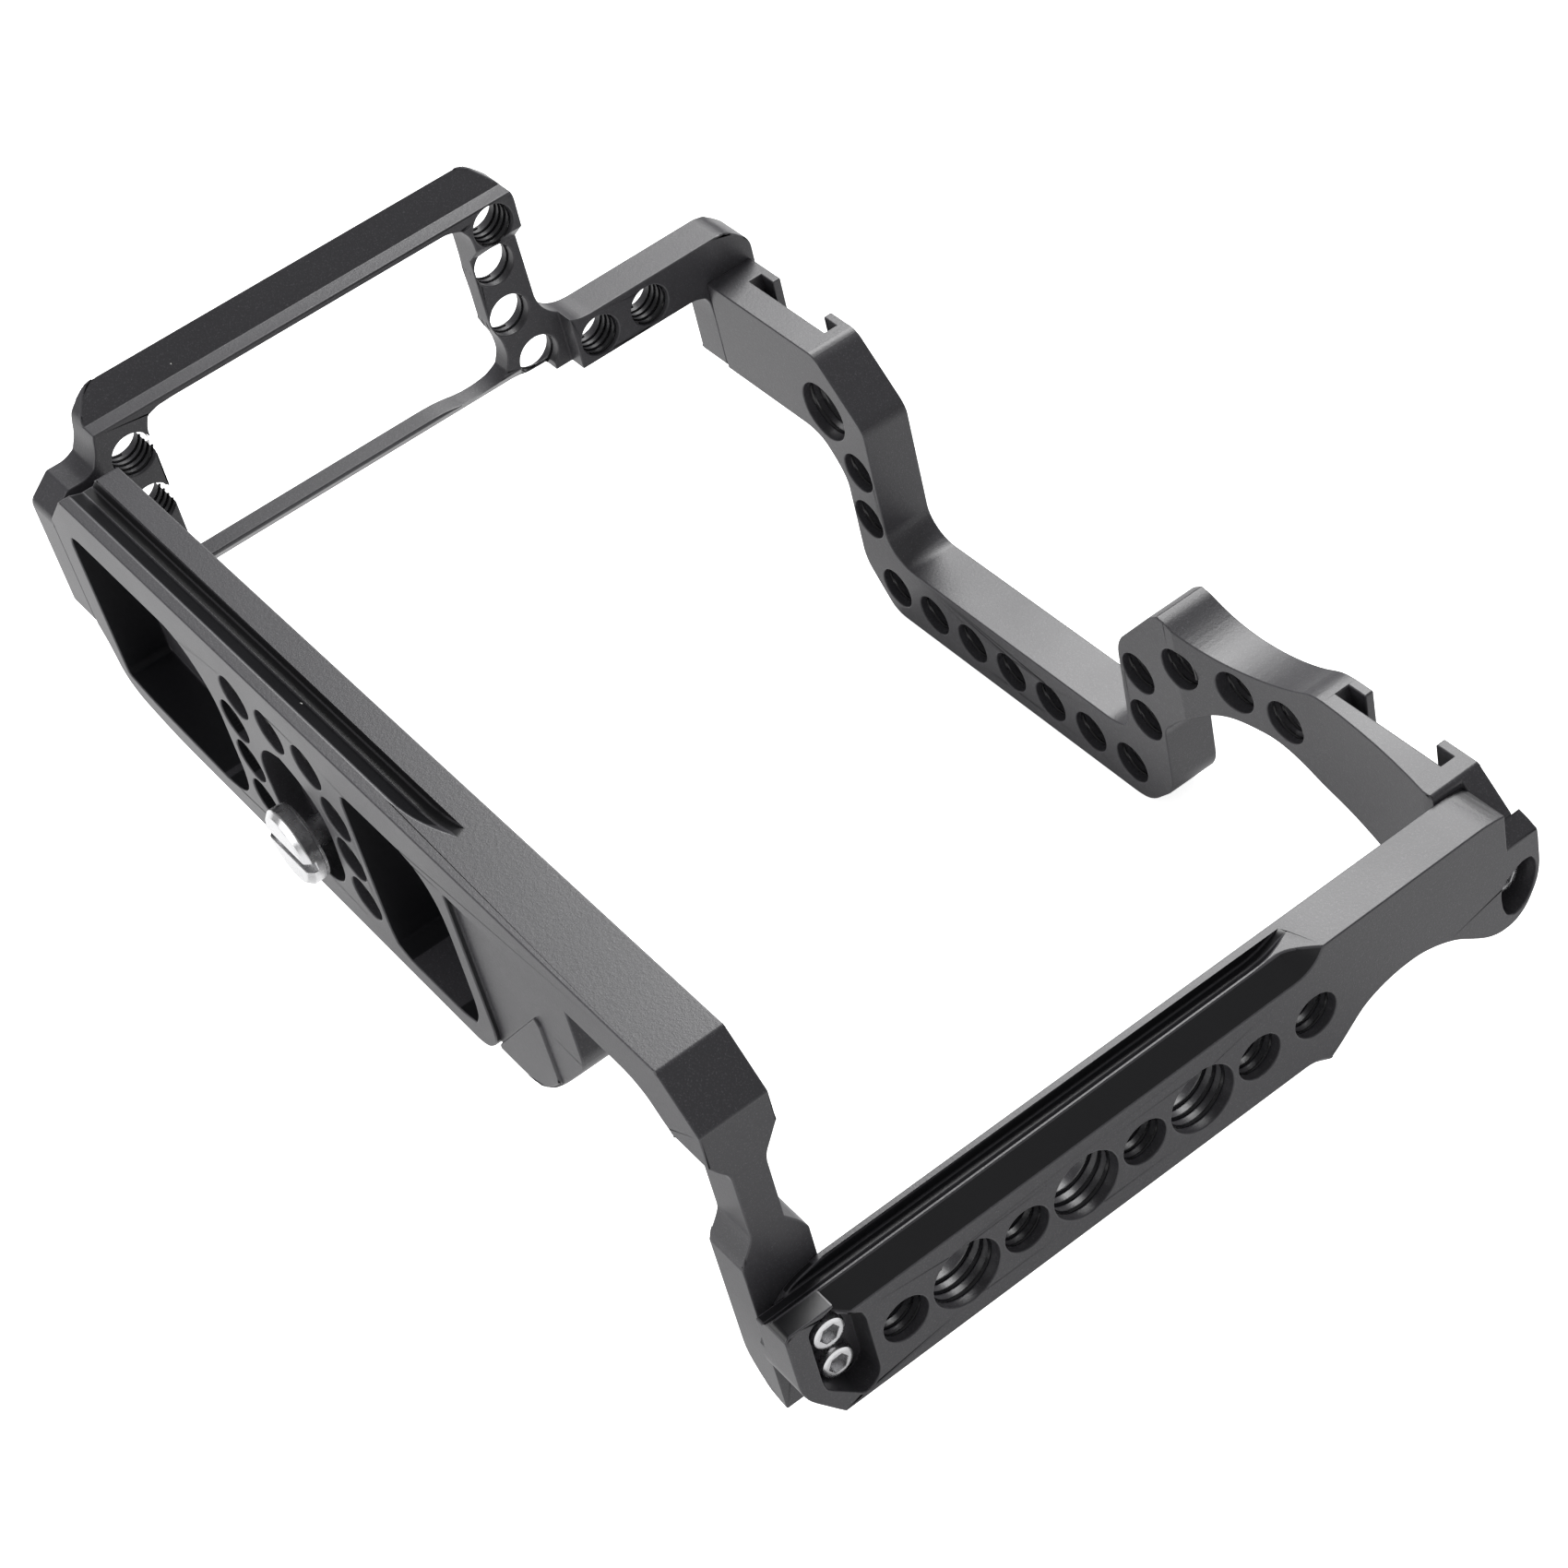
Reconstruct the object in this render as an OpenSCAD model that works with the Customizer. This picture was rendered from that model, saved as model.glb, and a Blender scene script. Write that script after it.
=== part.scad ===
/* [Cage] */
// Clear width of the camera bay between the grip frame and the side rail
bay_w = 152.8; // [140:0.1:165]
// Clear height of the camera bay between the bottom plate and the top bar
bay_h = 95.1; // [90:0.1:102]

/* [Bottom plate] */
// Thickness of the bottom plate
plate_t = 9.4; // [8.8:0.1:10.4]
// Width of the bottom plate across its dovetail
plate_d = 38; // [37:0.1:40]
// Height of the plate's lower edge above the middle of the side rail
plate_low = 7.3; // [6.5:0.1:8]
// Depth of the two weight pockets
pocket_depth = 6.9; // [4:0.1:7.2]
// Thickness of the dovetail's outer lip
plate_lip_t = 1.7; // [1.3:0.1:2]
// Width of the dovetail groove along the plate's front
plate_groove_w = 4; // [3.5:0.1:4.4]
// Depth of the dovetail groove
plate_groove_depth = 2.4; // [2:0.1:2.8]
// Radius of the cutter that leaves the groove
plate_cutter_r = 23.7; // [18:0.1:28]
// How far the tab beside the right pocket lies below the plate's face
tab_drop = 0.9; // [0.6:0.1:1.4]
// Height of the small pad on the tab
tab_pad_h = 0.4; // [0.2:0.1:0.5]

/* [Top bar] */
// Thickness of the top bar
bar_t = 8.1; // [7.8:0.1:9]
// Height of the top bar's winding outline
bar_span = 45.3; // [43:0.1:47]
// Depth of the bar's low part below the middle of the side rail
bar_drop = 31.3; // [29:0.1:33]
// Deepest point of the curved relief on the bar's inner face
relief_depth = 2.4; // [1:0.1:2.6]

/* [Cold shoes] */
// Width of the undercut slot
shoe_w = 18.6; // [18.5:0.1:18.9]
// Width of the opening between the lips
shoe_open_w = 12.5; // [12:0.1:13]
// Height of the undercut slot
shoe_slot_h = 2.1; // [1.9:0.1:2.3]
// Thickness of the lips
shoe_lip_t = 1.4; // [1.2:0.1:1.6]

/* [Side rail] */
// Thickness of the side rail
rail_t = 7.2; // [7:0.1:8]
// Width of the side rail
rail_w = 21.2; // [20.6:0.1:22]
// Width of the rail's outer flat between its two slopes
rail_flat_w = 15.2; // [14.6:0.1:15.6]
// How far the rail runs past the bottom plate
rail_low_over = 0.7; // [0.4:0.1:1]
// How far the rail runs past the top bar
rail_top_over = 1.9; // [1.4:0.1:2.2]
// Depth of the quick-release grooves in the rail's two edges
rail_groove_depth = 1.7; // [1.4:0.1:2]
// Radius of the cutter that leaves those grooves
rail_cutter_r = 12.9; // [11:0.1:15]

/* [Grip frame] */
// Thickness of the grip frame
grip_t = 6.5; // [6:0.1:7.5]
// Height of the grip frame above the middle of the side rail
grip_h = 49.9; // [49:0.1:51]
// How far the grip frame runs past the top bar
grip_top_over = 0.8; // [0.6:0.1:1.6]
// Size of the slope along the frame's upper member
grip_slope = 3.6; // [3:0.1:4]
// Depth of the relief on the frame's inner face, beside the window
grip_recess = 3.1; // [2.4:0.1:3.5]
// Size of the slope under the frame's thin lower bar
grip_bar_slope = 2.9; // [2:0.1:3]

/* [Holes] */
// Bore of the quarter inch holes
hole_d = 6.5; // [6.4:0.05:6.6]
// Bore of the three-eighths inch holes
large_hole_d = 9.7; // [9.6:0.05:9.9]
// Pitch of the holes along the side rail
hole_pitch = 9; // [8.9:0.1:9.3]
// Height of the rail's lowest hole above the plate's inner face
first_hole_up = 5.1; // [4.9:0.1:5.5]

/* [Cap screws] */
// Diameter of a cap screw's head
cap_d = 4.8; // [4.5:0.1:5]
// Height of a cap screw's head
cap_h = 2; // [1.6:0.1:2.4]
// Diameter of a cap screw's shank
cap_shank_d = 2.5; // [2.2:0.1:2.6]
// Length of a cap screw's shank
cap_shank_l = 8; // [7:0.1:8.4]
// Length of the upper cap screw's shank, which ends short of the shoe's slot
top_shank_l = 6.2; // [5:0.1:6.4]
// Width across flats of the hexagon socket
cap_socket_w = 2; // [1.8:0.1:2.2]
// Depth of the side rail's screw pockets
cap_pocket_depth = 4; // [3.8:0.1:4.4]
// Spacing of the two screws in the lower pocket
cap_pitch = 5.6; // [5.5:0.1:6]

/* [Camera screw] */
// Diameter of the camera screw's head
cam_head_d = 11.2; // [10.6:0.1:11.6]
// Thickness of the camera screw's head
cam_head_t = 2.6; // [2.2:0.1:3]
// Diameter of the camera screw's plain neck
cam_neck_d = 4.4; // [4.2:0.1:4.5]
// Outside diameter of the camera screw's quarter inch thread
cam_thread_d = 6.35; // [6.3:0.05:6.4]
// Length of the camera screw's thread
cam_thread_l = 4.6; // [4:0.1:5]
// Gap between the plate's outer face and the loosened head
cam_gap = 0.7; // [0.4:0.1:1.2]
// Depth of the recess that takes the head
cam_recess_depth = 3.6; // [3.3:0.1:4]
// Thickness of the web that carries the screw
cam_web_t = 2; // [1.8:0.1:2.4]
// Travel of the screw along its slot
cam_travel = 7.2; // [6:0.1:7.4]
// Thickness of the washer under the head
cam_washer_t = 0.4; // [0.3:0.1:0.6]
// Thickness of the retaining washer on the neck
keeper_t = 0.7; // [0.5:0.1:0.9]
// Outside diameter of the retaining washer
keeper_d = 10; // [9:0.1:10.4]

/* [Hidden] */

// outlines of the machined plates, as shares of their lengths and heights
plate_outline_shares = [
    [1, 0.3079], [0.9908, 0.2395], [0.9843, 0.1289], [0.9764, 0.0763], [0.9581, 0.0368],
    [0.9084, 0.0079], [0.8691, 0], [0.3822, 0], [0.3678, 0.0211], [0.3547, 0.0684],
    [0.3469, 0.1158], [0.3442, 0.1711], [0.3442, 0.8237], [0.1165, 0.8237], [0.0903, 0.8211],
    [0.07, 0.7921], [0.0563, 0.7342], [0.0471, 0.7079], [0.0432, 0.6868], [0.0432, -0.3289],
    [0.0288, -0.4184], [0.0157, -0.4605], [0, -0.4711], [0, 0.8395], [0.0399, 1],
    [0.9535, 1], [1, 0.8132]
];
tab_outline_shares = [
    [0.3514, 0.05], [0.3063, 0.05], [0.288, 0.0684], [0.2709, 0.1184], [0.2435, 0.2316],
    [0.2029, 0.4184], [0.1937, 0.4658], [0.1898, 0.5184], [0.1891, 0.8263], [0.3514, 0.8263]
];
tab_pad_shares = [
    [0.3514, 0.0763], [0.2533, 0.5237], [0.248, 0.4974], [0.2474, 0.2289], [0.2716, 0.1289],
    [0.2886, 0.0763], [0.3063, 0.0579], [0.3514, 0.0579]
];
pocket_left_shares = [
    [0.9647, 0.1342], [0.926, 0.1079], [0.784, 0.0868], [0.7552, 0.1132], [0.7382, 0.1789],
    [0.731, 0.2816], [0.731, 0.6026], [0.7395, 0.6921], [0.7592, 0.7789], [0.784, 0.8237],
    [0.9476, 0.8289], [0.962, 0.8132], [0.9673, 0.7711], [0.9673, 0.1553]
];
pocket_right_shares = [
    [0.5026, 0.1763], [0.4987, 0.1132], [0.483, 0.0868], [0.3966, 0.0895], [0.377, 0.1132],
    [0.3671, 0.1737], [0.3626, 0.2553], [0.3613, 0.5974], [0.3652, 0.7079], [0.3783, 0.7921],
    [0.3999, 0.8342], [0.4869, 0.8342], [0.4987, 0.8132], [0.5026, 0.7711]
];
slot_shares = [
    [0.5615, 0.4395], [0.5635, 0.5184], [0.5746, 0.5816], [0.5903, 0.6289], [0.6165, 0.6605],
    [0.6427, 0.6289], [0.6584, 0.5816], [0.6688, 0.5184], [0.6715, 0.4395], [0.6675, 0.2553],
    [0.6571, 0.1868], [0.6401, 0.1395], [0.6165, 0.1237], [0.5929, 0.1395], [0.5759, 0.1868],
    [0.5654, 0.2553]
];
bar_outline_shares = [
    [1, 1], [0.8312, 1], [0.8226, 0.9868], [0.7703, 0.8102], [0.7657, 0.7792],
    [0.7657, 0.3598], [0.7618, 0.3245], [0.7526, 0.2892], [0.7382, 0.2671], [0.4332, 0.2671],
    [0.4149, 0.2848], [0.4077, 0.3289], [0.4058, 0.6336], [0.4005, 0.6821], [0.3495, 0.8764],
    [0.339, 0.8985], [0.3285, 0.894], [0.3102, 0.8698], [0.2906, 0.8543], [0.267, 0.8477],
    [0.2402, 0.8543], [0.2127, 0.872], [0.1846, 0.9029], [0.1584, 0.9481], [0.0033, 0.9481],
    [-0.0314, 0.8311], [-0.0314, 0.5099], [0, 0.4834], [0.0445, 0.4879], [0.0838, 0.5232],
    [0.123, 0.5607], [0.1571, 0.5872], [0.1734, 0.6093], [0.195, 0.6358], [0.216, 0.649],
    [0.2487, 0.6402], [0.2644, 0.6313], [0.284, 0.6071], [0.3194, 0.5276], [0.3495, 0.4216],
    [0.3534, 0.3907], [0.3547, 0.1611], [0.3599, 0.117], [0.3861, 0.0287], [0.3979, 0.0066],
    [0.411, 0], [0.7683, 0], [0.7814, 0.0155], [0.7932, 0.0662], [0.8115, 0.1479],
    [0.8154, 0.1921], [0.8154, 0.5011], [0.8246, 0.5585], [0.8416, 0.6247], [0.8599, 0.6468],
    [1, 0.6468]
];
rail_outline_shares = [
    [0, 0.4717], [0, 0.0189], [0.0069, -0.0943], [0.033, -0.3019], [0.0503, -0.434],
    [0.0712, -0.5], [0.6719, -0.5], [0.6953, -0.4198], [0.7083, -0.3679], [0.7214, -0.3066],
    [0.7431, -0.2075], [0.7708, -0.1509], [0.7977, -0.1274], [0.8238, -0.1274], [0.8498, -0.1651],
    [0.8759, -0.2311], [0.901, -0.3396], [0.9184, -0.4057], [0.9358, -0.4434], [0.9583, -0.4434],
    [0.9774, -0.3774], [0.9948, -0.2264], [1, -0.1038], [1, 0.217], [0.9861, 0.3868],
    [0.974, 0.4434], [0.9514, 0.4811], [0.9271, 0.5], [0.0052, 0.5]
];
rail_pocket_shares = [
    [0.0286, 0.4245], [0.0347, 0.4528], [0.0434, 0.4575], [0.0521, 0.4387], [0.0764, 0.3396],
    [0.0868, 0.2925], [0.0903, 0.2264], [0.0903, -0.217], [0.0868, -0.2736], [0.0781, -0.3113],
    [0.0694, -0.3255], [0.0634, -0.3113], [0.0286, -0.1038], [0.026, -0.0283], [0.026, 0.3962]
];
rail_top_pocket_shares = [
    [0.9575, -0.0354], [0.967, -0.0047], [0.9774, 0.0142], [0.9878, 0], [0.9931, -0.0566],
    [0.9939, -0.1321], [0.9887, -0.2358], [0.9792, -0.316], [0.9688, -0.3585], [0.9583, -0.3679],
    [0.9488, -0.3349], [0.9436, -0.2642], [0.9423, -0.1604], [0.944, -0.0991], [0.9505, -0.0519]
];
lip_end_shares = [
    [-0.0087, 0.0755], [-0.0017, 0.1415], [0.0061, 0.2217], [0.0165, 0.3066], [0.0304, 0.3915],
    [0.0477, 0.4528], [0.0668, 0.4811], [0.0929, 0.5047], [0.0929, 0.5519], [-0.0087, 0.5519]
];
column_front_cut_shares = [
    [-0.1596, 0.7132], [0, 0.7026], [0.0851, 0.6658], [0.2074, 0.6263], [0.234, 0.5974],
    [0.234, 0.3237], [0.1489, 0.2868], [0.0319, 0.2447], [0, 0.2184], [-0.1596, 0.2132]
];
column_back_cut_shares = [
    [1.1596, 0.7289], [1, 0.7132], [0.766, 0.6158], [0.7394, 0.5868], [0.7394, 0.3237],
    [0.9255, 0.2579], [1, 0.2132], [1.1596, 0.2026]
];
grip_outline_shares = [
    [0, 0.3808], [0.0829, 0.3808], [0.0829, 0.2585], [0.6481, 0.2585], [0.6614, 0.2485],
    [0.6834, 0.2465], [0.9004, 0.2465], [0.9145, 0.2325], [0.9198, 0.2084], [0.9215, 0.1603],
    [0.9215, -0.0281], [0.9268, -0.0401], [0.9903, -0.0401], [0.9982, -0.024], [1, 0],
    [1, 0.3246], [0.9956, 0.3507], [0.9815, 0.3828], [0.9691, 0.4048], [0.9559, 0.4128],
    [0.7469, 0.4108], [0.7293, 0.4168], [0.7134, 0.4349], [0.7002, 0.4689], [0.694, 0.509],
    [0.6931, 0.8056], [0.694, 0.9038], [0.6914, 0.9279], [0.6817, 0.9539], [0.6658, 0.99],
    [0.6543, 1], [0.1226, 1], [0.1085, 0.99], [0.0873, 0.9419], [0.0838, 0.9138],
    [0.0802, 0.8737], [0.0714, 0.8337], [0.0573, 0.8176], [0.0317, 0.8176], [0.0026, 0.7615],
    [0, 0.7455]
];
window_shares = [
    [0.149, 0.3287], [0.1508, 0.8537], [0.1578, 0.8938], [0.1755, 0.9078], [0.5944, 0.9078],
    [0.612, 0.8918], [0.6217, 0.8597], [0.6235, 0.8216], [0.6226, 0.501], [0.6332, 0.4389],
    [0.634, 0.3788], [0.6261, 0.3387], [0.6102, 0.3186], [0.5864, 0.3106], [0.5617, 0.3126],
    [0.5459, 0.3206], [0.5282, 0.3267], [0.5071, 0.3287]
];
plate_hole_shares = [
    [0.6165, 0.7842], [0.676, 0.7842], [0.5569, 0.7842], [0.6996, 0.6105], [0.6996, 0.4211],
    [0.6996, 0.2316], [0.5334, 0.6105], [0.5334, 0.4211], [0.5334, 0.2316]
];
bar_hole_shares = [
    [0.7912, 0.5806], [0.7912, 0.3819], [0.767, 0.1258], [0.7081, 0.1258], [0.6492, 0.1258],
    [0.5903, 0.1258], [0.5314, 0.1258], [0.4725, 0.1258], [0.4136, 0.1258], [0.3802, 0.3863],
    [0.3802, 0.5806], [0.3194, 0.7285], [0.2565, 0.7506], [0.1976, 0.7506]
];
grip_hole_shares = [
    [0.1235, 0.8076], [0.1235, 0.6273], [0.6534, 0.6894], [0.6534, 0.509], [0.6764, 0.3267],
    [0.6561, 0.8557], [0.7549, 0.3226], [0.8342, 0.3226]
];

// places of screws, slots and steps as shares of the plates they sit in
rail_slope_shares = [
    [0.0755, 0.3585], [0.066, 0.3868], [0.0417, 0.4575], [0.0599, 0.4835], [0.0599, 0.62], [0.658, 0.62],
    [0.658, 0.3], [0.0755, 0.3]
];
rail_back_slope_shares = [
    [0.0148, 0.3], [0.0148, 0.62], [0.658, 0.62], [0.658, 0.3]
];
relief_y_shares = [0.1587, 0.694, 0.7187];
relief_top_share = 0.8056;
relief_low_share = 0.3166;
rail_screw_share = 0.606;
rail_screw_up_share = 0.0434;
top_screw_share = 0.7407;
top_screw_down_share = 0.1604;
grip_screw_shares = [0.42, 0.7];
grip_top_screw_shares = [0.74, 0.9];
cam_slot_share = [0.6165, 0.392];
column_share = 0.0446;
groove_end_share = 0.4136;
relief_share = 0.3076;
relief_mid_share = 0.1656;
large_hole_up_share = 0.766;
low_part_shares = [0.45, 0.73];
shoe_left_share = 0.9084;
shoe_right_share = 0.0831;
lap_share = 0.59;
lap_skin_share = 0.3333;
lap_low_share = 0.07;
groove_wall_share = 0.1389;
groove_w_share = 0.4167;
rail_groove_end_share = 0.6285;
slope_end_share = 0.658;
slope_cutter_r = 5.4; // radius, at the rail's face, of the cutter of its slopes
washer_share = 0.97;
bevel_share = 0.1866;
bevel_z = rail_w * bevel_share;

// small named lengths
over = 1; // how far a cut runs past the metal
half_share = 1 / 2;
loose = 0.3; // gap round the pieces that move
run = 0.1; // gap of the washer that turns on the neck
seat = 0.05; // gap under the retaining washer
bar_ends_w = 152.8; // bay that the outlines of the bar's ends are drawn for
corner_r = 0.8; // radius of an outline's sharp corners
shoe_hole_gap = 0.8; // metal between the left shoe's opening and the large hole
reach_share = 0.46; // part of an outline's side that a curve through its corner takes
gentle_turn = 33; // turns up to this many degrees follow a curve
edge_share = 0.3; // bevel of a screw head as a share of its height
round_fn = 32;
fine_fn = 80;
relief_fn = 720;

// planes of the cage: x runs from the side rail's outer face, y from the rail's lowest hole
x_in = -rail_t;
x_grip = x_in - bay_w;
x_out = x_grip - grip_t;
y_in = -first_hole_up;
y_out = y_in - plate_t;
y_bar = y_in + bay_h;
y_top = y_bar + bar_t;
y_rail_low = y_out - rail_low_over;
y_rail_top = y_top + rail_top_over;
rail_l = y_rail_top - y_rail_low;
grip_l = y_top + grip_top_over - y_out;
z_edge = rail_w * half_share;
z_flat = rail_flat_w * half_share;
plate_front = plate_low + plate_d;

// placement of the finished part: its box stands on the ground, centred
cam_head_y = y_out - cam_gap - cam_washer_t;
y_low = min(cam_head_y - cam_head_t, y_rail_low);
row_shift = [-x_out * half_share, -(y_low + y_rail_top) * half_share, bar_drop];

function plate_at(s) = [x_in - s.x * bay_w, plate_low + s.y * plate_d];
// the bar's two ends keep their shape, and its low part takes up the bay's width
function bar_x(s) = s < low_part_shares[0] ? x_in - s * bar_ends_w
    : s > low_part_shares[1] ? x_grip + (1 - s) * bar_ends_w
    : let (a = x_in - low_part_shares[0] * bar_ends_w, b = x_grip + (1 - low_part_shares[1]) * bar_ends_w)
        a + (b - a) * (s - low_part_shares[0]) / (low_part_shares[1] - low_part_shares[0]);
function bar_at(s) = [bar_x(s.x), s.y * bar_span - bar_drop];
function rail_at(s) = [y_rail_low + s.x * rail_l, s.y * rail_w];
function column_at(s) = [y_out + s.x * plate_t, plate_low + s.y * plate_d];
function grip_at(s) = [y_out + s.x * grip_l, s.y * grip_h];

// rounds an outline: gentle turns over most of their sides, sharp ones to corner_r; corners whose
// first value lies on one of the planes in keep stay sharp
function unit(v) = v / norm(v);
function rounded(pts, keep = []) = [for (i = [0 : len(pts) - 1]) let (
        a = pts[(i + len(pts) - 1) % len(pts)], b = pts[i], c = pts[(i + 1) % len(pts)],
        turn = acos(min(1, unit(b - a) * unit(c - b))),
        room = min(norm(b - a), norm(c - b)) * reach_share,
        sharp = turn > gentle_turn,
        d = sharp ? min(room, corner_r * tan(turn * half_share)) : room,
        p = b - unit(b - a) * d, q = b + unit(c - b) * d,
        steps = sharp ? 4 : 3,
        kept = len([for (k = keep) if (abs(b.x - k) < seat) k]) > 0)
    each kept || turn < 2 ? [b]
        : [for (j = [0 : steps]) let (t = j / steps)
            p * (1 - t) * (1 - t) + b * (2 * t * (1 - t)) + q * t * t]];

plate_pts = [for (s = plate_outline_shares) plate_at(s)];
tab_pts = [for (s = tab_outline_shares) plate_at(s)];
pad_pts = [for (s = tab_pad_shares) plate_at(s)];
bar_pts = [for (s = bar_outline_shares) bar_at(s)];
rail_pts = [for (s = rail_outline_shares) rail_at(s)];
grip_pts = [for (s = grip_outline_shares) grip_at(s)];

// screw places
cap_head_x = cap_h - cap_pocket_depth;
rail_screw_y = y_out + plate_t * rail_screw_share;
rail_screw_z = rail_w * rail_screw_up_share;
top_screw_y = y_bar + bar_t * top_screw_share;
top_screw_z = -rail_w * top_screw_down_share;
grip_screw_y = y_out + plate_t * half_share;
grip_top_screw_y = y_bar + bar_t * half_share;
cam_x = plate_at(cam_slot_share).x;
cam_z = plate_at(cam_slot_share).y - cam_travel * half_share;
web_y = y_out + cam_recess_depth + cam_web_t;
keeper_y = web_y + seat;
neck_top = keeper_y + keeper_t + loose;
large_hole_x = bar_x(shoe_left_share) + (shoe_open_w + large_hole_d) * half_share + shoe_hole_gap;
large_hole_z = bar_span * large_hole_up_share - bar_drop;
lap_y = y_bar + bar_t * lap_share;
lap_x = -rail_t * lap_skin_share;
lap_z = rail_w * lap_low_share;

module slab_y(y0, y1, pts)
    translate([0, y1, 0]) rotate([90, 0, 0]) linear_extrude(height = y1 - y0) polygon(pts);

module slab_x(x0, x1, pts)
    translate([x0, 0, 0]) rotate([90, 0, 90]) linear_extrude(height = x1 - x0) polygon(pts);

module bore_y(x, z, y0, y1, d)
    translate([x, y1, z]) rotate([90, 0, 0]) cylinder(h = y1 - y0, d = d, $fn = round_fn);

module bore_x(y, z, x0, x1, d)
    translate([x0, y, z]) rotate([0, 90, 0]) cylinder(h = x1 - x0, d = d, $fn = round_fn);

// a slot with round ends that runs along z
module long_slot(x, z, y0, y1, w, travel) {
    bore_y(x, z, y0, y1, w);
    bore_y(x, z + travel, y0, y1, w);
    translate([x - w * half_share, y0, z]) cube([w, y1 - y0, travel]);
}

// a groove's cutter: deep at its wall, sloped up to nothing at its lip; it turns about its own axis
module cutter(r, w, depth)
    rotate_extrude($fn = fine_fn)
        polygon([[0, 0], [r, 0], [r, w - depth], [r - depth - over, w + over], [0, w + over]]);

// bottom plate with its end column, pockets, dovetail groove and screw slot
module plate_groove() {
    floor_z = plate_front - plate_groove_depth;
    wall_y = y_out + plate_lip_t + plate_groove_w;
    end_x = x_in - bay_w * groove_end_share;
    lip_y = y_out + plate_lip_t;
    translate([x_grip - over, 0, 0]) rotate([90, 0, 90]) linear_extrude(height = end_x - x_grip + over)
        polygon([[wall_y, floor_z], [wall_y, plate_front + over],
            [lip_y - over, plate_front + over], [lip_y + plate_groove_depth, floor_z]]);
    translate([end_x, wall_y, floor_z + plate_cutter_r]) rotate([90, 0, 0])
        cutter(plate_cutter_r, plate_groove_w, plate_groove_depth);
}

module bottom_plate() color([0.06, 0.06, 0.065]) translate(row_shift) difference() {
    union() {
        slab_y(y_out, y_in, rounded(plate_pts, [x_in, x_grip]));
        slab_y(y_out + tab_drop, y_in, rounded(tab_pts, [tab_pts[0].x]));
        slab_y(y_out + tab_drop - tab_pad_h, y_in, rounded(pad_pts, [pad_pts[0].x]));
    }
    slab_y(y_out - over, y_out + pocket_depth, rounded([for (s = pocket_left_shares) plate_at(s)]));
    slab_y(y_out - over, y_out + pocket_depth, rounded([for (s = pocket_right_shares) plate_at(s)]));
    slab_y(y_out - over, y_out + cam_recess_depth, rounded([for (s = slot_shares) plate_at(s)]));
    long_slot(cam_x, cam_z, y_out, y_in, cam_thread_d + loose, cam_travel);
    long_slot(cam_x, cam_z, web_y, y_in + over, keeper_d + loose + loose, cam_travel);
    for (s = plate_hole_shares)
        bore_y(plate_at(s).x, plate_at(s).y, y_out - over, y_in + over, hole_d);
    slab_x(x_in - bay_w * column_share, x_in + over,
        rounded([for (s = column_front_cut_shares) column_at(s)]));
    slab_x(x_in - bay_w * column_share, x_in + over,
        rounded([for (s = column_back_cut_shares) column_at(s)]));
    plate_groove();
    for (k = [-half_share, half_share])
        bore_x(rail_screw_y, rail_screw_z + k * cap_pitch, cap_head_x - cap_h - cap_shank_l,
            x_in + over, cap_shank_d);
    for (s = grip_screw_shares)
        bore_x(grip_screw_y, plate_low + s * plate_d, x_grip - over,
            x_out + cap_h + cap_shank_l, cap_shank_d);
}

// relief of the frame's inner face and the slope under its thin bar
module grip_relief() {
    face_x = x_grip - grip_recess;
    y0 = y_out + grip_l * relief_y_shares[0];
    top_z = grip_h * relief_top_share;
    low_z = grip_h * relief_low_share;
    slab_y(y0, y_out + grip_l * relief_y_shares[2], [[face_x, -bar_drop], [face_x, top_z - grip_recess],
        [x_grip + over, top_z + over], [x_grip + over, -bar_drop]]);
    slab_y(y0, y_out + grip_l * relief_y_shares[1], [[face_x + over, low_z + over],
        [face_x + over, -bar_drop], [face_x - grip_bar_slope, -bar_drop],
        [face_x - grip_bar_slope, low_z - grip_bar_slope]]);
}

// grip frame
module grip_frame() color([0.06, 0.06, 0.065]) translate(row_shift) difference() {
    slab_x(x_out, x_grip, rounded(grip_pts));
    slab_x(x_out - over, x_grip + over, rounded([for (s = window_shares) grip_at(s)]));
    slab_y(y_out - over, y_rail_top, [[x_out, grip_h], [x_out + grip_slope, grip_h - grip_slope],
        [x_grip + over, grip_h - grip_slope], [x_grip + over, grip_h + over], [x_out, grip_h + over]]);
    grip_relief();
    for (s = grip_hole_shares) bore_x(grip_at(s).x, grip_at(s).y, x_out - over, x_grip + over, hole_d);
    for (s = grip_screw_shares) {
        bore_x(grip_screw_y, plate_low + s * plate_d, x_out - over, x_grip + over, cap_shank_d);
        bore_x(grip_screw_y, plate_low + s * plate_d, x_out - over, x_out + cap_h, cap_d + loose);
    }
    for (s = grip_top_screw_shares) {
        bore_x(grip_top_screw_y, s * bar_span - bar_drop, x_out - over, x_grip + over, cap_shank_d);
        bore_x(grip_top_screw_y, s * bar_span - bar_drop, x_out - over, x_out + cap_h, cap_d + loose);
    }
}

// top bar
module shoe(x) {
    z0 = -bar_drop - over;
    len = bar_span + over + over;
    translate([x - shoe_w * half_share, y_top - shoe_lip_t - shoe_slot_h, z0])
        cube([shoe_w, shoe_slot_h, len]);
    translate([x - shoe_open_w * half_share, y_top - shoe_lip_t - over, z0])
        cube([shoe_open_w, shoe_lip_t + over + over, len]);
}

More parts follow.
